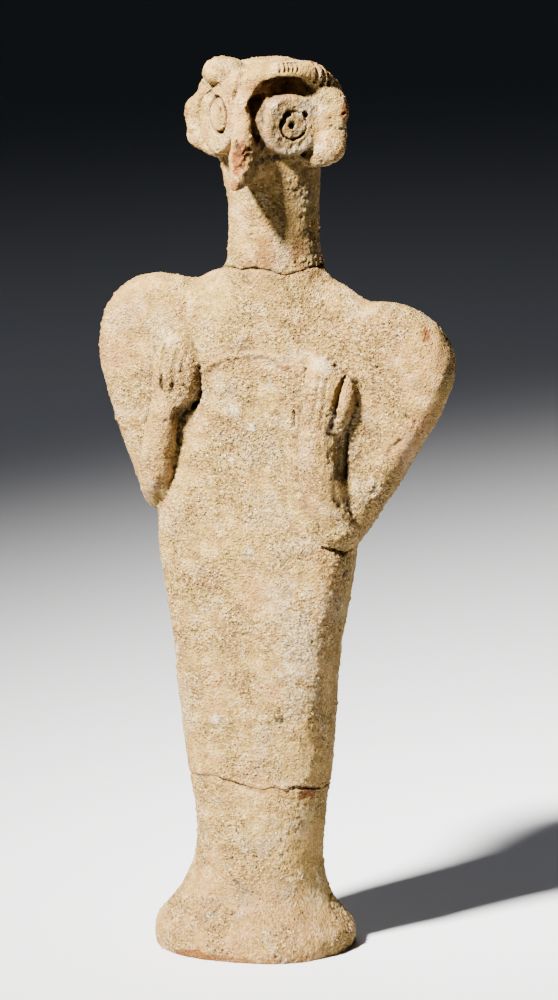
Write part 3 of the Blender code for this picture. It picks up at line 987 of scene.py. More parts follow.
LEFT_EYE = Eye(
    Side.LEFT,
    45.5,
    -59,
    930,
    33.5,
    (
        # dirt and painted shade in the ring, most where it is deep at the upper left
        Arc(112, 172, 14.5, 2.8, 8, dirt_and_shade=0.8),
        Arc(172, 240, 15.5, 1.3, 2.4, dirt_and_shade=0.4),
        Arc(240, 320, 15.5, 1.4, 2.8, dirt_and_shade=0.7),
        Arc(320, 395, 16.0, 1.1, 1.0, dirt_and_shade=0.15),
        Arc(34, 42, 18.5, 2.0, 6, dirt_and_shade=0.8),
        Arc(60, 112, 15.5, 1.2, 1.8, dirt_and_shade=0.3),
    ),
    (-1.5, 0.5),
    3.4,
    (
        Arc(84, 155, 46, 9.0, 22, 0.45, 6),
        Arc(86, 150, 41, 6.0, 16, 0.2, 12),
        # dirt and painted shade in the socket under the brow
        Arc(52, 84, 43, 4.0, 8, 0.3, 5, 0.4),
        Arc(125, 205, 40, 5.0, 14, 0.0, 9),
        Arc(125, 200, 39, 4.0, 12, 0.0, 16),
        Arc(205, 330, 38.5, 4.0, 13, 0.0, 6),
        Arc(330, 385, 38.5, 3.2, 9, 0.0, 5),
    ),
    math.radians(48),
)
RIGHT_EYE = Eye(
    Side.RIGHT,
    46,
    -63,
    930,
    36,
    # the ring and the stick's hole are darkened with painted shade
    (Arc(0, 360, 19.5, 1.7, 4.2, dirt_and_shade=3.0), Arc(225, 300, 19.5, 2.0, 2.0, dirt_and_shade=2.0)),
    (15, 13.5),
    3.2,
    (Arc(80, 250, 39, 3.4, 8.0, 0.0, 5), Arc(250, 330, 39, 3.0, 6.0, 0.0, 5)),
    math.radians(42),
    (9, 8.5),
    ring_slack=8.0,
    pupil_shade=4.5,
)
RIGHT_ARM = Arm(
    Side.RIGHT,
    (
        (-110, -6, 498, 17),
        (-107, -27, 522, 19),
        (-100, -38, 562, 19),
        (-92, -41, 605, 17),
        (-84, -36, 645, 11),
    ),
    Pellet((-81, -36, 642), (27, 19, 44)),
    (
        Groove(
            ((-106, -30, 497), (-99, -34, 511), (-91.6, -36, 534), (-87, -36, 553)),
            2.6,
            1.5,
            SLANT,
            9,
        ),
        Groove(((-87, -36, 551), (-83, -36, 568), (-83, -36, 584), (-77, -36, 598)), 3.0, 2.5, SLANT, 9),
        # these slits are darkened with dirt and painted shade
        Groove(((-79, -36, 596), (-70, -38, 604), (-62, -38, 609)), 4.4, 10, SLANT, 9, 0.6),
        Groove(((-64, -38, 608), (-58, -38, 613), (-55, -38, 622)), 3.4, 11, SLANT, 9, 0.7),
        Groove(((-55, -38, 621), (-53.5, -38, 634), (-53, -38, 651)), 2.1, 12, SLANT, 9, 0.8),
        Groove(((-66, -40, 590), (-48, -44, 610), (-42, -44, 646)), 10.0, 4, (0, 1, 0), 6),
    ),
    (
        Groove(((-89.5, -50, 684), (-92, -51, 655), (-91.5, -51, 628)), 2.0, 2.6, (0, 1, 0), 4),
        Groove(((-91.6, -51, 642), (-91.6, -51, 626)), 1.4, 2.6, (0, 1, 0), 4),
        Groove(((-74, -50, 671), (-77, -52, 648), (-79, -52, 626)), 2.0, 2.6, (0, 1, 0), 4),
        Groove(((-78.6, -52, 634), (-79, -52, 626)), 1.4, 2.8, (0, 1, 0), 4),
        Groove(((-64, -49, 668), (-66, -51, 650)), 2.2, 2.2, (0, 1, 0), 4),
    ),
)
LEFT_ARM = Arm(
    Side.LEFT,
    (
        (110, -4, 466, 16),
        (105, -23, 486, 20),
        (93, -38, 522, 23),
        (88, -45, 565, 22),
        (89, -44, 605, 20),
        (92, -37, 645, 11),
    ),
    Pellet((91, -38, 630), (23, 18, 44)),
    (
        # the slits round the thumb and down the forearm are darkened with dirt and painted shade
        Groove(
            ((117, -42, 653), (113, -42, 633), (110, -42, 615), (106, -42, 592)),
            2.6,
            15,
            SLANT,
            8,
            1.2,
        ),
        Groove(
            ((131, -30, 638), (131, -30, 622), (124, -32, 603), (117, -34, 586)),
            1.3,
            4,
            SLANT,
            9,
            0.5,
        ),
        Groove(((117, -34, 588), (112.5, -36, 560), (111, -38, 522)), 2.1, 13, SLANT, 9, 0.8),
        Groove(((111, -38, 526), (114, -38, 510), (120, -34, 500)), 1.7, 7, SLANT, 9, 0.7),
        Groove(((146, -30, 640), (142, -32, 600), (130, -34, 545)), 14.0, 4, (0, 1, 0), 8),
    ),
    (
        # a small slit in the hand, darkened with dirt and painted shade
        Groove(((71, -40, 658), (72.5, -41, 643)), 1.8, 8.0, (0.3, 1, 0), 8, 0.7),
        Groove(((59, -42, 610), (58, -42, 595)), 1.6, 5.0, (0, 1, 0), 6),
        Groove(((92, -53, 652), (88, -55, 620), (86, -57, 596)), 2.2, 3.0, (0, 1, 0), 5),
        Groove(((100, -52, 650), (98, -54, 620), (97, -56, 598)), 2.2, 3.0, (0, 1, 0), 5),
        Groove(((84, -55, 611), (84, -55, 603)), 1.5, 5.0, (0, 1, 0), 5),
        Groove(((92, -38, 461), (99, -34, 459), (104, -28, 456)), 2.0, 6.5, (-0.3, 0.8, 0.5), 6),
        Groove(((103, -29, 456), (110, -16, 451), (114, -4, 454)), 2.2, 6.5, (-0.7, 0.4, 0.5), 6),
    ),
    (
        (107, -40, 590, 8),
        (114, -43, 611, 10),
        (120, -43, 635, 10.5),
        (121, -38, 655, 8),
    ),
    (Pellet((102, -20, 481), (25, 27, 22)), Pellet((70, -30, 520), (30, 18, 80))),
)


# Breaks, damage and what burial left


@dataclass(frozen=True)
class Break:
    """An old break across the figure, put together again, with its edges worn back.

    The line gives its height along the front, as across and up in thousandths. The middle and half size
    are the figure's there; all other sizes are in millimetres.
    """

    line: tuple[tuple[float, float], ...]
    middle: tuple[float, float]
    half_size: float
    back_slope: float
    seed: int
    wander: float = 0.16
    long_wave: float = 1.9
    short_wave: float = 0.8
    short_share: float = 0.6
    wear: float = 0.34
    wear_reach: float = 0.26
    wear_wave: float = 2.2
    even_wear: float = 0.75
    uneven_wear: float = 0.6
    least_wear: float = 0.05
    falloff: float = 1.5
    chip_spacing: float = 2.4
    chip_edge: tuple[float, float] = (1.1, 0.3)
    chip_rarity: float = 0.62
    chip_reach: float = 1.4
    chip_depth: float = 0.35

    def height(self, places: np.ndarray) -> np.ndarray:
        """How high the break runs at each place, in millimetres."""
        across, up = (np.array(values) * UNIT_MM for values in zip(*self.line))
        level = np.interp(places[:, 0], across, up) + self.back_slope * np.maximum(places[:, 1], 0)
        flat = places * (1, 1, 0)
        rough = Unevenness(self.seed)
        short = self.short_share * rough.waves(flat, self.short_wave)
        return level + self.wander * (rough.waves(flat, self.long_wave) + short)

    def wear_back(self, skin: Skin) -> None:
        """Wears the skin of a sherd back towards the break."""
        off = np.abs(skin.places[:, 2] - self.height(skin.places))
        rough = Unevenness(self.seed + 1)
        waves = rough.waves(skin.places, self.wear_wave)
        depth = self.wear * (self.even_wear + self.uneven_wear * waves)
        gap, number = rough.scattered(skin.places, self.chip_spacing)
        chip = rising(gap, *self.chip_edge) * (number > self.chip_rarity)
        reach = self.wear_reach * (1 + self.chip_reach * chip)
        share = np.exp(-((off / reach) ** self.falloff))
        middle = np.array(self.middle) * UNIT_MM
        spoke = (skin.places[:, :2] - middle) / (self.half_size * UNIT_MM)
        worn = share * np.maximum(depth + self.chip_depth * chip, self.least_wear)
        skin.places[:, :2] -= spoke * worn[:, None]
        skin.put_back()


NECK_BREAK = Break(
    line=(
        ((-40, 757), (-33, 761), (-13, 764.5), (-4, 763.9), (13, 766.3), (27, 766.7), (34, 764.4))
        + ((44, 761.9), (51, 760.9), (60, 764.2), (68, 766.5), (73, 768), (80, 768))
    ),
    middle=(21, 0),
    half_size=52,
    back_slope=-0.06,
    seed=11,
)
SHIN_BREAK = Break(
    line=(
        ((-74, 190), (-61.5, 194.7), (-49, 195.4), (-39, 196.5), (-31, 197.6), (-23, 196.2))
        + ((-15, 193.5), (-7, 193), (0.4, 190.1), (10.5, 188), (18, 187.4), (26.4, 185), (35, 188.8))
        + ((42, 188.7), (49, 186.5), (54, 185.2), (59.4, 188.1), (71, 189.4), (78, 187), (83, 181))
    ),
    middle=(5, 1),
    half_size=66,
    back_slope=-0.05,
    seed=23,
)


@dataclass(frozen=True)
class Mark:
    """A patch of a stain, with its middle and radii in thousandths.

    The skin rises by this many millimetres there, and the patch is this ragged.
    """

    stain: Stain
    place: tuple[float, float, float]
    radii: tuple[float, float, float]
    strength: float = 1.0
    rise: float = 0.0
    ragged: float = 0.4

    # in radii: how far out the patch is looked for, and where it starts and is whole
    FARTHEST = 1.8
    EDGE = (1.15, 0.75)
    RAGGED_MM = 1.3

    def cover(self, skin: Skin, rough: Unevenness) -> np.ndarray:
        """How much of each point the patch covers, from 0 to 1."""
        gap = np.linalg.norm((skin.places / UNIT_MM - self.place) / self.radii, axis=1)
        near = gap < self.FARTHEST
        cover = np.zeros(len(gap))
        edge = gap[near] + self.ragged * rough.layered(skin.places[near], self.RAGGED_MM)
        cover[near] = self.strength * rising(edge, *self.EDGE)
        return cover


MARKS = (
    # the split face down the beak, and its worn tip
    Mark(Stain.FRESH, (17, -102, 899), (12, 18, 19), 1.0, -0.45, 0.25),
    Mark(Stain.DIRT_AND_SHADE, (20, -100, 908), (10, 14, 10), 0.9, -0.1, 0.5),
    # painted shade on the beak's left flank, below the eye
    Mark(Stain.DIRT_AND_SHADE, (30, -86, 895), (12, 16, 34), 0.6, 0.0, 0.5),
    Mark(Stain.FRESH, (16, -112, 868), (9, 10, 9), 0.7, -0.15, 0.4),
    # rubbed edges of the ears, the left shoulder and the forearm
    Mark(Stain.FRESH, (113, -24, 940), (6, 12, 12), 0.8),
    Mark(Stain.FRESH, (-72, -30, 934), (5, 10, 9), 0.8),
    Mark(Stain.FRESH, (205, -22, 703), (6, 12, 9), 1.0, -0.12),
    Mark(Stain.FRESH, (81, -50, 571), (6, 8, 13), 0.45),
    Mark(Stain.FRESH, (80, -50, 548), (8, 8, 9), 0.5),
    # the neck, where the skin has flaked off above the break
    Mark(Stain.FRESH, (27, -45, 786), (12, 14, 20), 0.6),
    Mark(Stain.FRESH, (8, -44, 772), (22, 12, 6), 0.4),
    Mark(Stain.FRESH, (60, -28, 787), (9, 14, 17), 0.6),
    # the shin break's left end and the foot's lower rim
    Mark(Stain.FRESH, (72, -32, 182), (10, 14, 8), 0.9, -0.15),
    Mark(Stain.FRESH, (-36, -96, 4), (30, 20, 6), 0.9),
    Mark(Stain.FRESH, (10, -100, 2), (40, 14, 5), 0.6),
    Mark(Stain.FRESH, (70, -70, 4), (40, 40, 5), 0.3),
    # crust on the left eye and round it
    Mark(Stain.ASH, (58, -74, 926), (36, 34, 38), 1.0, 0.12),
    Mark(Stain.LIME, (41, -88, 914), (7, 9, 8), 0.5, 0.16, 0.8),
    Mark(Stain.LIME, (62, -72, 902), (14, 14, 6), 0.45, 0.12),
    Mark(Stain.LIME, (84, -52, 948), (20, 16, 16), 0.45, 0.14),
    Mark(Stain.LIME, (80, -50, 902), (18, 14, 12), 0.45, 0.12),
    Mark(Stain.LIME, (44, -76, 958), (10, 12, 6), 0.4, 0.08),
    # white lumps on the right side of the shaft and on the chest
    Mark(Stain.LIME, (-76, -34, 334), (6, 8, 8), 1.0, 0.35, 0.25),
    Mark(Stain.LIME, (-9, -42, 607), (5, 6, 4), 0.9, 0.12),
    Mark(Stain.LIME, (9, -42, 590), (4, 5, 5), 0.8, 0.10),
    Mark(Stain.LIME, (-14, -44, 552), (4, 5, 4), 0.8, 0.10),
    Mark(Stain.LIME, (-102, -35, 690), (18, 8, 5), 0.35, 0.08, 0.7),
    Mark(Stain.LIME, (-80, -44, 690), (9, 8, 9), 0.35, 0.08, 0.7),
    Mark(Stain.LIME, (97, -46, 666), (17, 12, 9), 0.35, 0.06, 0.7),
    Mark(Stain.LIME, (125, -40, 694), (22, 8, 4), 0.4, 0.06, 0.7),
    Mark(Stain.LIME, (10, -50, 452), (6, 6, 4), 0.6, 0.08),
    Mark(Stain.LIME, (-30, -52, 262), (6, 6, 6), 0.6, 0.08),
    # reddish clay and dirt laid into the hollow under the brow, partly as painted shade
    Mark(Stain.FRESH, (44, -68, 968), (30, 24, 12), 0.5, 0.0, 0.6),
    Mark(Stain.DIRT_AND_SHADE, (40, -72, 964), (26, 24, 12), 0.5, 0.0, 0.5),
    # painted shade: a dark strip between the beak's ridge and the left eye
    Mark(Stain.DIRT_AND_SHADE, (33, -74, 932), (6, 16, 34), 1.0, 0.0, 0.3),
    # dirt and painted shade in the gap under the left eye
    Mark(Stain.DIRT_AND_SHADE, (54, -70, 892), (34, 26, 8), 1.0, -0.05, 0.5),
    # dark in the dent under the right temple's lump
    Mark(Stain.DIRT_AND_SHADE, (-40, -54, 958), (10, 10, 8), 0.7, -0.12, 0.5),
    # painted shade: the head's shadow down the left side of the neck
    Mark(Stain.DIRT_AND_SHADE, (60, -28, 835), (20, 22, 46), 0.6, 0.0, 0.8),
    Mark(Stain.DIRT_AND_SHADE, (64, -24, 785), (14, 14, 18), 0.4, 0.0, 0.8),
    # the rough, rubbed spot on the right ear's root
    Mark(Stain.FRESH, (-20, -60, 977), (11, 12, 11), 0.35, -0.15, 0.9),
    # grey deposits low on the shin and foot
    Mark(Stain.ASH, (-5, -70, 60), (40, 24, 26), 0.6),
    Mark(Stain.ASH, (48, -60, 75), (14, 20, 14), 0.9, 0.05),
    Mark(Stain.ASH, (28, -56, 118), (34, 20, 22), 0.5),
    Mark(Stain.ASH, (60, -50, 215), (24, 18, 18), 0.5),
    Mark(Stain.ASH, (50, -50, 300), (22, 18, 60), 0.35, 0.0, 0.7),
    Mark(Stain.ASH, (-40, -48, 417), (16, 14, 14), 0.7, 0.1, 0.6),
    Mark(Stain.ASH, (12, -48, 445), (13, 12, 12), 0.6, 0.08, 0.6),
    Mark(Stain.ASH, (-21, -83, 42), (20, 18, 16), 1.0, 0.05, 0.5),
    Mark(Stain.ASH, (7, -69, 72), (15, 15, 11), 0.9, 0.05, 0.5),
    Mark(Stain.ASH, (54, -51, 74), (13, 14, 11), 0.9, 0.05, 0.5),
    Mark(Stain.ASH, (35, -58, 95), (13, 12, 9), 0.8, 0.0, 0.5),
    Mark(Stain.ASH, (36, -54, 142), (20, 16, 16), 0.45, 0.0, 0.8),
    Mark(Stain.ASH, (-10, -55, 172), (22, 16, 12), 0.4, 0.0, 0.8),
    Mark(Stain.ASH, (-18, -50, 351), (20, 16, 24), 0.4, 0.0, 0.8),
    Mark(Stain.ASH, (15, -45, 575), (34, 16, 26), 0.4, 0.0, 0.8),
    # a broad pale bloom down the shaft's front
    Mark(Stain.LIME, (68, -46, 352), (24, 16, 46), 0.3, 0.0, 0.9),
    Mark(Stain.LIME, (45, -50, 400), (18, 16, 30), 0.2, 0.0, 0.9),
    # pits and old knocks
    Mark(Stain.DIRT_AND_SHADE, (45, -50, 266), (6, 8, 5), 0.8, -0.25, 0.5),
    Mark(Stain.DIRT_AND_SHADE, (107, -6, 427), (4, 8, 4), 0.9, -0.3, 0.3),
    Mark(Stain.DIRT_AND_SHADE, (64, -44, 189.5), (9, 8, 2.6), 1.0, -0.35, 0.3),
    # the skin worn thin over both shoulders; over the left one it is also painted shade, darkening that
    # wing
    Mark(Stain.WORN, (160, -34, 680), (66, 30, 66), 0.45, 0.0, 0.7),
    Mark(Stain.WORN, (192, -20, 590), (34, 30, 34), 0.7, 0.0, 0.6),
    Mark(Stain.WORN, (-150, -34, 690), (40, 30, 60), 0.35),
    # worn skin and painted shade down both forearms
    Mark(Stain.WORN, (84, -52, 560), (20, 16, 60), 0.6),
    Mark(Stain.WORN, (-92, -46, 575), (18, 16, 60), 0.5),
    # where iron in the clay has stained it
    Mark(Stain.WORN, (16, -49, 407), (18, 14, 18), 0.8, 0.0, 0.7),
    Mark(Stain.WORN, (39, -50, 297), (9, 10, 10), 0.9, 0.0, 0.6),
    Mark(Stain.WORN, (94, -38, 414), (14, 30, 60), 0.6, 0.0, 0.8),
    Mark(Stain.WORN, (20, -90, 930), (70, 40, 50), 0.65, 0.0, 0.8),
    Mark(Stain.WORN, (15, -90, 925), (14, 30, 46), 0.4, 0.0, 0.6),
    # the whole foot darker, pinker and greyer
    Mark(Stain.WORN, (0, -70, 40), (110, 70, 60), 0.6, 0.0, 0.8),
    Mark(Stain.ASH, (20, -80, 50), (80, 60, 60), 0.35, 0.0, 1.0),
)


@dataclass(frozen=True)
class Weathering:
    """The relief and the stains of the skin: the hand's strokes, sand, pits, crust, dirt, wear and
    painted shade.

    Sizes and heights are in millimetres.
    """

    seed: int = 5
    stroke_size: float = 13.0
    stroke_height: float = 0.24
    stroke_squeeze: float = 0.55
    dimple_size: float = 4.2
    dimple_height: float = 0.16
    sand_size: float = 0.9
    sand_height: float = 0.2
    grit_size: float = 1.7
    grit_height: float = 0.28
    pit_size: float = 2.3
    pit_depth: float = 0.42
    crust_size: float = 5.5
    crust_height: float = 0.10
    knob_size: float = 0.9
    patch_size: float = 8.0
    dirt_and_shade_reach: float = 1.3

    # the patterns are read this far apart, in millimetres, so that none repeats another
    DIMPLES_AT, GRIT_AT, PITS_AT, CRUST_AT = 3.1, 11.0, 23.0, 31.0
    # of the grains' numbers from 0 to 1, those below these have no grit and no pit
    NO_GRIT, NO_PIT = 0.55, 0.45
    # how many times the skin is evened out to find its fine and its broad hollows
    FINE_PASSES, BROAD_PASSES = 5, 45

    def sandiness(self, places: np.ndarray, rough: Unevenness) -> np.ndarray:
        """How bare the sand lies: most on the chest, least on the shoulders and the neck."""
        across, _, up = (places / UNIT_MM).T
        middle, half_width = 45, 155
        chest = 0.55 * np.exp(-(((across - middle) / half_width) ** 4))
        chest = chest * rising(up, 380, 520) * rising(up, 770, 700)
        shaft = 0.3 * rising(up, 520, 380)
        foot = 0.25 * rising(up, 140, 80)
        head = 0.25 * rising(up, 850, 880)
        patches = rising(rough.layered(places, self.patch_size), -0.5, 0.6)
        return np.clip((0.65 + chest + shaft + foot - head) * (0.4 + 0.75 * patches), 0, 1.2)

    def crust(self, places: np.ndarray, rough: Unevenness) -> np.ndarray:
        """Where the thin crust lies in patches, from 0 to 1."""
        return rising(rough.layered(places + self.CRUST_AT, self.crust_size, 4), 0.28, 0.5)

    def apply(self, skin: Skin) -> None:
        """Raises and lowers the skin.

        Args:
            skin: the skin of one sherd.
        """
        rough = Unevenness(self.seed)
        squeezed = skin.places * (1, 1, self.stroke_squeeze)
        heights = self.stroke_height * rough.waves(squeezed, self.stroke_size)
        heights += self.dimple_height * rough.layered(skin.places + self.DIMPLES_AT, self.dimple_size)
        skin.raise_by(heights)

        sandy = self.sandiness(skin.places, rough)
        gap, number = rough.scattered(skin.places, self.sand_size)
        grains = rising(gap, 0.8 * self.sand_size, 0.1) - 0.4
        heights = self.sand_height * sandy * grains * (0.5 + number)
        gap, number = rough.scattered(skin.places + self.GRIT_AT, self.grit_size)
        grit = rising(gap, 0.32 * self.grit_size, 0.1) * (number > self.NO_GRIT)
        heights += self.grit_height * grit * (0.4 + 0.6 * sandy)
        gap, number = rough.scattered(skin.places + self.PITS_AT, self.pit_size)
        pits = rising(gap, 0.1 + 0.45 * number, 0.05) * (number > self.NO_PIT)
        heights -= self.pit_depth * pits * (0.5 + 0.5 * sandy)
        patch = self.crust(skin.places, rough) * np.minimum(sandy, 1)
        knobs = 0.5 + 0.8 * rough.waves(skin.places, self.knob_size)
        heights += self.crust_height * patch * knobs
        for mark in MARKS:
            if mark.rise:
                heights += mark.rise * mark.cover(skin, rough) * np.clip(knobs + 0.3, 0.4, 1.4)
        skin.raise_by(heights)

    def stain(self, skin: Skin, edges: np.ndarray, grooves: list[Groove]) -> None:
        """Paints every stain and the painted shade on the finished skin.

        Args:
            skin: the skin of one sherd, after its relief.
            edges: how much each point belongs to the edge of a break.
            grooves: the grooves that hold dirt and painted shade.
        """
        rough = Unevenness(self.seed)
        fine, broad = skin.hollowness(self.FINE_PASSES), skin.hollowness(self.BROAD_PASSES)
        amounts = {stain: np.zeros(len(skin.places)) for stain in Stain}

        def lay(stain: Stain, cover: np.ndarray) -> None:
            """Lays a stain where it covers more than what is there already."""
            amounts[stain] = np.maximum(amounts[stain], cover)

        for mark in MARKS:
            lay(mark.stain, mark.cover(skin, rough))
        lay(Stain.LIME, 0.15 * self.crust(skin.places, rough))
        # dirt stays in the broad hollows and is rubbed off the broad ridges; the dark in the hollows is
        # also painted shade
        amounts[Stain.DIRT_AND_SHADE] *= rising(broad, -0.2, 0.1)
        lay(Stain.DIRT_AND_SHADE, rising(broad, 0.18, 0.7))
        for groove in grooves:
            # dirt and painted shade fill a groove to its bottom
            gap = skin.gap_to(replace(groove, slack=groove.slack + groove.depth))
            reach = self.dirt_and_shade_reach * groove.half_width * UNIT_MM
            lay(Stain.DIRT_AND_SHADE, groove.dirt_and_shade * rising(gap, reach, 0.1))
        # dirt and painted shade in the fine hollows
        amounts[Stain.DIRT_AND_SHADE] += 0.5 * rising(fine, 0.02, 0.09)
        amounts[Stain.DIRT_AND_SHADE] += 0.75 * edges * (0.7 + 0.5 * rough.waves(skin.places, 1.1))
        amounts[Stain.FRESH] += 0.35 * edges * rising(rough.waves(skin.places, 2.0), 0.0, 0.4)
        lay(Stain.WORN, 0.7 * rising(broad, -0.12, -0.5))
        amounts[Stain.ASH] *= 0.6 + 0.6 * rough.layered(skin.places, 2.4)
        amounts[Stain.SAND] = self.sandiness(skin.places, rough)
        for stain, values in amounts.items():
            skin.paint(stain, values)


# Finishes


def from_hex(colour: str) -> tuple[float, float, float, float]:
    """An sRGB hex colour as the linear values that a shader takes."""
    shares = [int(colour[i : i + 2], 16) / 255 for i in (1, 3, 5)]
    linear = [s / 12.92 if s <= 0.04045 else ((s + 0.055) / 1.055) ** 2.4 for s in shares]
    return (*linear, 1.0)


def per_metre(millimetres: float) -> float:
    """The texture scale that repeats a pattern at this size."""
    return MM_PER_METRE / millimetres


def new_material(name: str, roughness: float) -> tuple[bpy.types.Material, bpy.types.Node]:
    """A new material with this roughness, and its shader."""
    material = bpy.data.materials.new(name)
    material.use_nodes = True
    shader = material.node_tree.nodes["Principled BSDF"]
    shader.inputs["Roughness"].default_value = roughness
    return material, shader


def add_node(
    tree: bpy.types.NodeTree,
    kind: str,
    inputs: dict[str | int, object] | None = None,
    **settings: object,
) -> bpy.types.Node:
    """Adds a node with its settings and links.

    Args:
        tree: the material's node tree.
        kind: the node's type.
        inputs: for an input's name or number, a value, or the output that is linked to it.
        settings: the node's own properties.

    Returns:
        The new node.
    """
    made = tree.nodes.new(kind)
    for name, value in settings.items():
        setattr(made, name, value)
    for key, value in (inputs or {}).items():
        if isinstance(value, bpy.types.NodeSocket):
            tree.links.new(value, made.inputs[key])
        else:
            made.inputs[key].default_value = value
    return made


class Pattern(Enum):
    """The patterns in space that the clay's colours and its relief are read from."""

    BLOTCH = "blotch"
    MOTTLE = "mottle"
    FINE = "fine"
    PALE_GRAIN = "pale grain"
    DARK_GRAIN = "dark grain"
    PROUD_GRAIN = "proud grain"
    TINT = "tint"


@dataclass(frozen=True)
class Layer:
    """A colour laid over those before it.

    It goes from nothing where its pattern is low to its full share where it is high. With a stain, it
    lies only where the stain does.
    """

    colour: str
    pattern: Pattern
    low: float
    high: float
    share: float = 1.0
    stain: Stain | None = None


@dataclass(frozen=True)
class BuriedTerracotta:
    """Low-fired earthenware with sand in it, hand-smoothed and long buried.

    It is matt and grainy: buff where the skin is whole, brown where it is worn or broken, with sand
    grains from white to dark, brown dirt and painted shade in its hollows, and pale lime and grey ash
    on it. The grains of the finest sand are about 0.1 mm and too small to show, so the sand is drawn
    three to six times as coarse.
    """

    skin: str = "#8A6F36"
    layers: tuple[Layer, ...] = (
        Layer("#7A5A30", Pattern.BLOTCH, 0.46, 0.66, 0.6),
        Layer("#946A44", Pattern.TINT, 0.52, 0.68, 0.5),
        Layer("#A98F5C", Pattern.MOTTLE, 0.5, 0.66, 0.9),
        Layer("#6C5430", Pattern.MOTTLE, 0.47, 0.34, 0.7),
        Layer("#93663C", Pattern.MOTTLE, 0.3, 0.7, 1.0, Stain.WORN),
        Layer("#524A38", Pattern.MOTTLE, 0.35, 0.6, 1.0, Stain.ASH),
        Layer("#4E3B1C", Pattern.FINE, 0.48, 0.34, 1.0, Stain.SAND),
        Layer("#B89E68", Pattern.FINE, 0.54, 0.66, 0.8, Stain.SAND),
        Layer("#3A2710", Pattern.DARK_GRAIN, 0.6, 0.8, 1.0, Stain.SAND),
        Layer("#DACDA8", Pattern.PALE_GRAIN, 0.84, 0.95, 1.0, Stain.SAND),
        Layer("#B7AD98", Pattern.FINE, 0.3, 0.55, 1.0, Stain.LIME),
        Layer("#5C2C08", Pattern.FINE, 0.2, 0.55, 1.0, Stain.FRESH),
        # dark brown of dirt, and of painted shade in hollows, grooves and on shaded sides
        Layer("#2B1F12", Pattern.FINE, 0.15, 0.45, 1.0, Stain.DIRT_AND_SHADE),
    )
    roughness: float = 0.95
    specular: float = 0.2
    sand_mm: float = 0.5
    fine_mm: float = 0.44
    blotch_mm: float = 9.0
    tint_mm: float = 5.0
    mottle_mm: float = 2.6
    bump_mm: float = 1.0
    noise_roughness: float = 0.65
    # how far from its middle a grain ends and is whole, and the numbers from which a grain begins to
    # stand out and does so fully
    grain_edge: tuple[float, float] = (0.55, 0.25)
    proud_numbers: tuple[float, float] = (0.35, 0.8)
    grain_relief: float = 0.3
    covered_relief: float = 0.3

    def build(self) -> bpy.types.Material:
        """The material, read from the stains that each point carries and from patterns in space."""
        material, shader = new_material("buried_terracotta", self.roughness)
        shader.inputs["Specular IOR Level"].default_value = self.specular
        tree = material.node_tree
        here = add_node(tree, "ShaderNodeTexCoord").outputs["Object"]
        stains = {
            stain: add_node(tree, "ShaderNodeAttribute", attribute_name=stain.value).outputs["Fac"]
            for stain in Stain
        }

        patterns = {}
        for pattern, size, detail in (
            (Pattern.BLOTCH, self.blotch_mm, 4.0),
            (Pattern.TINT, self.tint_mm, 3.0),
            (Pattern.MOTTLE, self.mottle_mm, 4.0),
            (Pattern.FINE, self.fine_mm, 3.0),
        ):
            inputs = {"Vector": here, "Scale": per_metre(size), "Detail": detail}
            inputs["Roughness"] = self.noise_roughness
            patterns[pattern] = add_node(tree, "ShaderNodeTexNoise", inputs).outputs["Fac"]

        # each sand grain is round, and its number decides how pale and how proud it is
        inputs = {"Vector": here, "Scale": per_metre(self.sand_mm)}
        sand = add_node(tree, "ShaderNodeTexVoronoi", inputs)
        number = add_node(tree, "ShaderNodeSeparateColor", {0: sand.outputs["Color"]})
        inputs = {0: sand.outputs["Distance"], 1: self.grain_edge[0], 2: self.grain_edge[1]}
        core = add_node(tree, "ShaderNodeMapRange", inputs)
        inputs = {0: 1.0, 1: number.outputs[0]}
        against = add_node(tree, "ShaderNodeMath", inputs, operation="SUBTRACT")
        inputs = {0: number.outputs[1], 1: self.proud_numbers[0], 2: self.proud_numbers[1]}
        proud = add_node(tree, "ShaderNodeMapRange", inputs)
        for pattern, weight in (
            (Pattern.PALE_GRAIN, number),
            (Pattern.DARK_GRAIN, against),
            (Pattern.PROUD_GRAIN, proud),
        ):
            inputs = {0: core.outputs[0], 1: weight.outputs[0]}
            patterns[pattern] = add_node(tree, "ShaderNodeMath", inputs, operation="MULTIPLY").outputs[0]

        colour = from_hex(self.skin)
        for layer in self.layers:
            inputs = {0: patterns[layer.pattern], 1: layer.low, 2: layer.high, 4: layer.share}
            share = add_node(tree, "ShaderNodeMapRange", inputs).outputs[0]
            if layer.stain:
                inputs = {0: share, 1: stains[layer.stain]}
                share = add_node(tree, "ShaderNodeMath", inputs, operation="MULTIPLY").outputs[0]
            inputs = {0: share, 6: colour, 7: from_hex(layer.colour)}
            colour = add_node(tree, "ShaderNodeMix", inputs, data_type="RGBA").outputs[2]
        tree.links.new(colour, shader.inputs["Base Color"])

        inputs = {0: patterns[Pattern.PROUD_GRAIN], 1: self.grain_relief, 2: patterns[Pattern.FINE]}
        height = add_node(tree, "ShaderNodeMath", inputs, operation="MULTIPLY_ADD")
        inputs = {0: stains[Stain.SAND], 3: self.covered_relief}
        bare = add_node(tree, "ShaderNodeMapRange", inputs)
        inputs = {0: height.outputs[0], 1: bare.outputs[0]}
        relief = add_node(tree, "ShaderNodeMath", inputs, operation="MULTIPLY")
        inputs = {"Strength": 1.0, "Distance": self.bump_mm / MM_PER_METRE, "Height": relief.outputs[0]}
        bump = add_node(tree, "ShaderNodeBump", inputs)
        tree.links.new(bump.outputs[0], shader.inputs["Normal"])
        return material


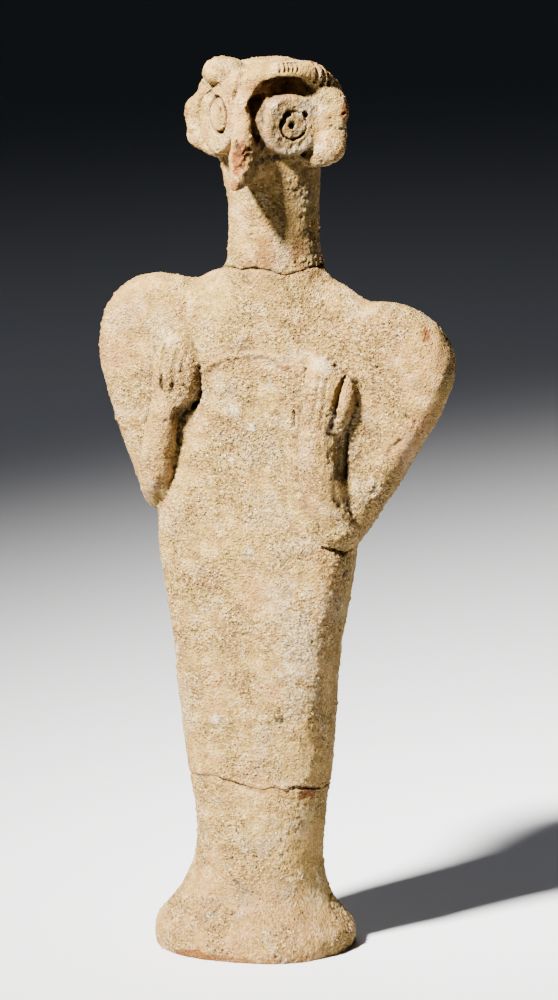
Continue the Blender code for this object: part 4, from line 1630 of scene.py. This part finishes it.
@dataclass(frozen=True)
class StudioFloor:
    """Matt painted board, which gives the eye nothing but the figure's shadow."""

    colour: str = "#C4C5C8"
    roughness: float = 0.8
    grain_mm: float = 1.5
    bump_mm: float = 0.02

    def build(self) -> bpy.types.Material:
        """The material, with a slight unevenness in its paint."""
        material, shader = new_material("painted_board", self.roughness)
        shader.inputs["Base Color"].default_value = from_hex(self.colour)
        tree = material.node_tree
        here = add_node(tree, "ShaderNodeTexCoord").outputs["Object"]
        inputs = {"Vector": here, "Scale": per_metre(self.grain_mm)}
        grain = add_node(tree, "ShaderNodeTexNoise", inputs).outputs["Fac"]
        inputs = {"Distance": self.bump_mm / MM_PER_METRE, "Height": grain}
        bump = add_node(tree, "ShaderNodeBump", inputs)
        tree.links.new(bump.outputs[0], shader.inputs["Normal"])
        return material


# Putting it together


@dataclass(frozen=True)
class Grains:
    """How fine each stage of the modelling is, in thousandths, and how often it is stroked."""

    mass: float = 3.0
    mass_passes: int = 50
    added: float = 2.2
    added_passes: int = 5
    pellets: float = 1.6
    pellets_passes: int = 1
    head: float = 1.15
    trunk: float = 1.5
    foot: float = 1.3
    sherd_passes: int = 2


@dataclass(frozen=True)
class Figurine:
    """The whole figure: kneaded from its parts, broken into three sherds, weathered and dressed."""

    parts: tuple[ClayPart, ...]
    finish: BuriedTerracotta
    weathering: Weathering = Weathering()
    grains: Grains = Grains()
    most_triangles: int = 196000
    break_stain: float = 0.3  # millimetres from a break

    def model(self) -> bpy.types.Object:
        """The figure in soft clay, whole, with its deep hollows pressed in."""
        grains = self.grains
        masses = [piece for part in self.parts for piece in part.masses()]
        figure = knead("masses", masses, grains.mass, grains.mass_passes)
        added = [piece for part in self.parts for piece in part.added()]
        figure = knead("modelled", [figure, *added], grains.added, grains.added_passes)
        pellets = [piece for part in self.parts for piece in part.pellets()]
        figure = knead("figure", [figure, *pellets], grains.pellets, grains.pellets_passes)
        Skin(figure).press([groove for part in self.parts for groove in part.hollows()])
        return figure

    def cut(self, figure: bpy.types.Object, at: Break | None, keep_upper: bool) -> bpy.types.Object:
        """A copy of the figure on one side of a break, or above the ground where there is no break.

        Args:
            figure: the piece to cut, which stays as it is.
            at: the break, or None for the ground.
            keep_upper: whether the part above the cut is kept.

        Returns:
            The closed copy.
        """
        bm = bmesh.new()
        bm.from_mesh(figure.data)

        def shift(sign: int) -> None:
            """Moves each point up or down by the break's height there."""
            places = np.array([v.co for v in bm.verts]) * MM_PER_METRE
            for vertex, level in zip(bm.verts, at.height(places) / MM_PER_METRE):
                vertex.co.z += sign * level

        if at:
            shift(-1)
        every = [*bm.verts, *bm.edges, *bm.faces]
        cut = bmesh.ops.bisect_plane(
            bm,
            geom=every,
            plane_co=(0, 0, 0),
            plane_no=(0, 0, 1),
            clear_inner=keep_upper,
            clear_outer=not keep_upper,
        )
        rim = [e for e in cut["geom_cut"] if isinstance(e, bmesh.types.BMEdge)]
        bmesh.ops.contextual_create(bm, geom=rim)
        bmesh.ops.triangulate(bm, faces=bm.faces)
        if at:
            shift(1)
        return from_bmesh("sherd", bm)

    def finish_sherd(
        self, sherd: Sherd, piece: bpy.types.Object, grain: float, breaks: tuple[Break, ...]
    ) -> bpy.types.Object:
        """Turns a cut piece into a finished sherd.

        Args:
            sherd: which sherd it is.
            piece: the closed piece, which is used up.
            grain: the spacing of its finished skin, in thousandths.
            breaks: the breaks along its edges.

        Returns:
            The finished sherd.
        """
        obj = knead(sherd.value, [piece], grain, self.grains.sherd_passes)
        skin = Skin(obj)
        skin.press([groove for part in self.parts for groove in part.lines()])
        self.weathering.apply(skin)
        for line in breaks:
            line.wear_back(skin)
        thin = obj.modifiers.new("thin", "DECIMATE")
        thin.ratio = min(1.0, self.most_triangles / (2 * len(obj.data.polygons)))
        obj.data = finished_mesh(obj)
        obj.modifiers.clear()
        obj.data.name = sherd.value

        skin = Skin(obj)
        low, high = (np.array(corner) * MM_PER_METRE for corner in CAD_BOX)
        skin.places = np.clip(skin.places, low, high)
        skin.put_back()
        edges = np.zeros(len(skin.places))
        for line in breaks:
            off = np.abs(skin.places[:, 2] - line.height(skin.places))
            edges = np.maximum(edges, np.exp(-((off / self.break_stain) ** 2)))
        grooves = [g for part in self.parts for g in (*part.hollows(), *part.lines()) if g.dirt_and_shade]
        self.weathering.stain(skin, edges, grooves)
        obj.data.shade_smooth()
        return obj

    def build(self) -> None:
        """Builds the three sherds, from the head down, and dresses them."""
        figure = self.model()
        above_ground = self.cut(figure, None, True)
        used_up(figure)
        below_neck = self.cut(above_ground, NECK_BREAK, False)
        cuts = {
            Sherd.HEAD: (self.cut(above_ground, NECK_BREAK, True), self.grains.head, (NECK_BREAK,)),
            Sherd.TRUNK: (
                self.cut(below_neck, SHIN_BREAK, True),
                self.grains.trunk,
                (NECK_BREAK, SHIN_BREAK),
            ),
            Sherd.FOOT: (self.cut(below_neck, SHIN_BREAK, False), self.grains.foot, (SHIN_BREAK,)),
        }
        used_up(above_ground)
        used_up(below_neck)
        clay = self.finish.build()
        for sherd, (piece, grain, breaks) in cuts.items():
            obj = self.finish_sherd(sherd, piece, grain, breaks)
            obj.data.materials.append(clay)
            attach(obj, BODY)
            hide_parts(NODE)
            triangles = sum(len(face.vertices) - 2 for face in obj.data.polygons)
            log.info("%s: %d triangles", obj.name, triangles)


def stand(obj: bpy.types.Object, aim: Vector, azimuth: float, elevation: float, distance: float) -> None:
    """Stands a lamp or camera round the figure and turns it towards its aim.

    Args:
        obj: the lamp or camera.
        aim: the point that it looks at.
        azimuth: the way round, in degrees: 0 is in front of the figure and 90 at its left.
        elevation: the angle above level, in degrees.
        distance: how far from its aim it stands, in metres.
    """
    turn, rise = math.radians(azimuth), math.radians(elevation)
    across, back = math.sin(turn) * math.cos(rise), -math.cos(turn) * math.cos(rise)
    out = Vector((across, back, math.sin(rise)))
    obj.location = aim + distance * out
    obj.rotation_euler = (-out).to_track_quat("-Z", "Y").to_euler()


@dataclass(frozen=True)
class Lamp:
    """A soft square lamp: its place as azimuth, elevation and distance, its size, watts and colour.

    A grid in front of it keeps its light within a cone this many degrees wide.
    """

    name: str
    azimuth: float
    elevation: float
    distance: float
    size: float
    watts: float
    colour: str
    cone: float = 180.0

    def build(self, aim: Vector) -> None:
        """The lamp, turned towards the figure."""
        light = bpy.data.lights.new(self.name, "AREA")
        light.size = self.size
        light.energy = self.watts
        light.spread = math.radians(self.cone)
        light.color = from_hex(self.colour)[:3]
        stand(linked(self.name, light), aim, self.azimuth, self.elevation, self.distance)


@dataclass(frozen=True)
class Studio:
    """A plain pale floor, soft lamps and the camera."""

    azimuth: float = 20.0
    elevation: float = 12.0
    distance: float = 1.6
    lens: float = 317.6
    sensor: float = 36.0
    aim_right: float = 0.00417
    aim_up: float = 0.0825
    lamps_up: float = 0.11
    floor_size: float = 8.0
    surround: str = "#C4D2E8"
    surround_strength: float = 0.022
    lamps: tuple[Lamp, ...] = (
        Lamp("key", -25, 43.5, 1.3, 0.15, 3.9, "#FFFAF4", 22),
        Lamp("fill", 75, 20, 1.6, 0.8, 0.15, "#FFF2E6"),
        Lamp("back", 215, 35, 1.6, 0.8, 0.45, "#F4F6FF", 30),
    )

    def build(self) -> None:
        """Lays the floor and sets up the lamps and the camera."""
        self._floor()
        for lamp in self.lamps:
            lamp.build(Vector((0, 0, self.lamps_up)))
        world = bpy.data.worlds.new("studio")
        world.use_nodes = True
        backdrop = world.node_tree.nodes["Background"]
        backdrop.inputs["Color"].default_value = from_hex(self.surround)
        backdrop.inputs["Strength"].default_value = self.surround_strength
        bpy.context.scene.world = world
        self._camera()

    def _camera(self) -> None:
        """The camera, aimed a little to the right of the figure's axis."""
        camera = bpy.data.cameras.new("camera")
        camera.lens = self.lens
        camera.sensor_width = self.sensor
        seen = linked("camera", camera)
        turn = math.radians(self.azimuth)
        right = Vector((math.cos(turn), math.sin(turn), 0))
        aim = right * self.aim_right + Vector((0, 0, self.aim_up))
        stand(seen, aim, self.azimuth, self.elevation, self.distance)
        bpy.context.scene.camera = seen

    def _floor(self) -> None:
        """The floor, which isn't part of the figurine."""
        bm = bmesh.new()
        bmesh.ops.create_grid(bm, x_segments=4, y_segments=4, size=self.floor_size / 2)
        floor = from_bmesh("floor", bm)
        floor.data.materials.append(StudioFloor().build())


def main() -> None:
    """Builds the figurine and the studio round it."""
    logging.basicConfig(level=logging.INFO, format="%(name)s: %(message)s")
    parts = (Shaft(), Shoulders(), Head(), Headband(), LEFT_EAR, RIGHT_EAR)
    parts += (LEFT_EYE, RIGHT_EYE, LEFT_ARM, RIGHT_ARM)
    Figurine(parts, BuriedTerracotta()).build()
    Studio().build()


if __name__ == "__main__":
    main()
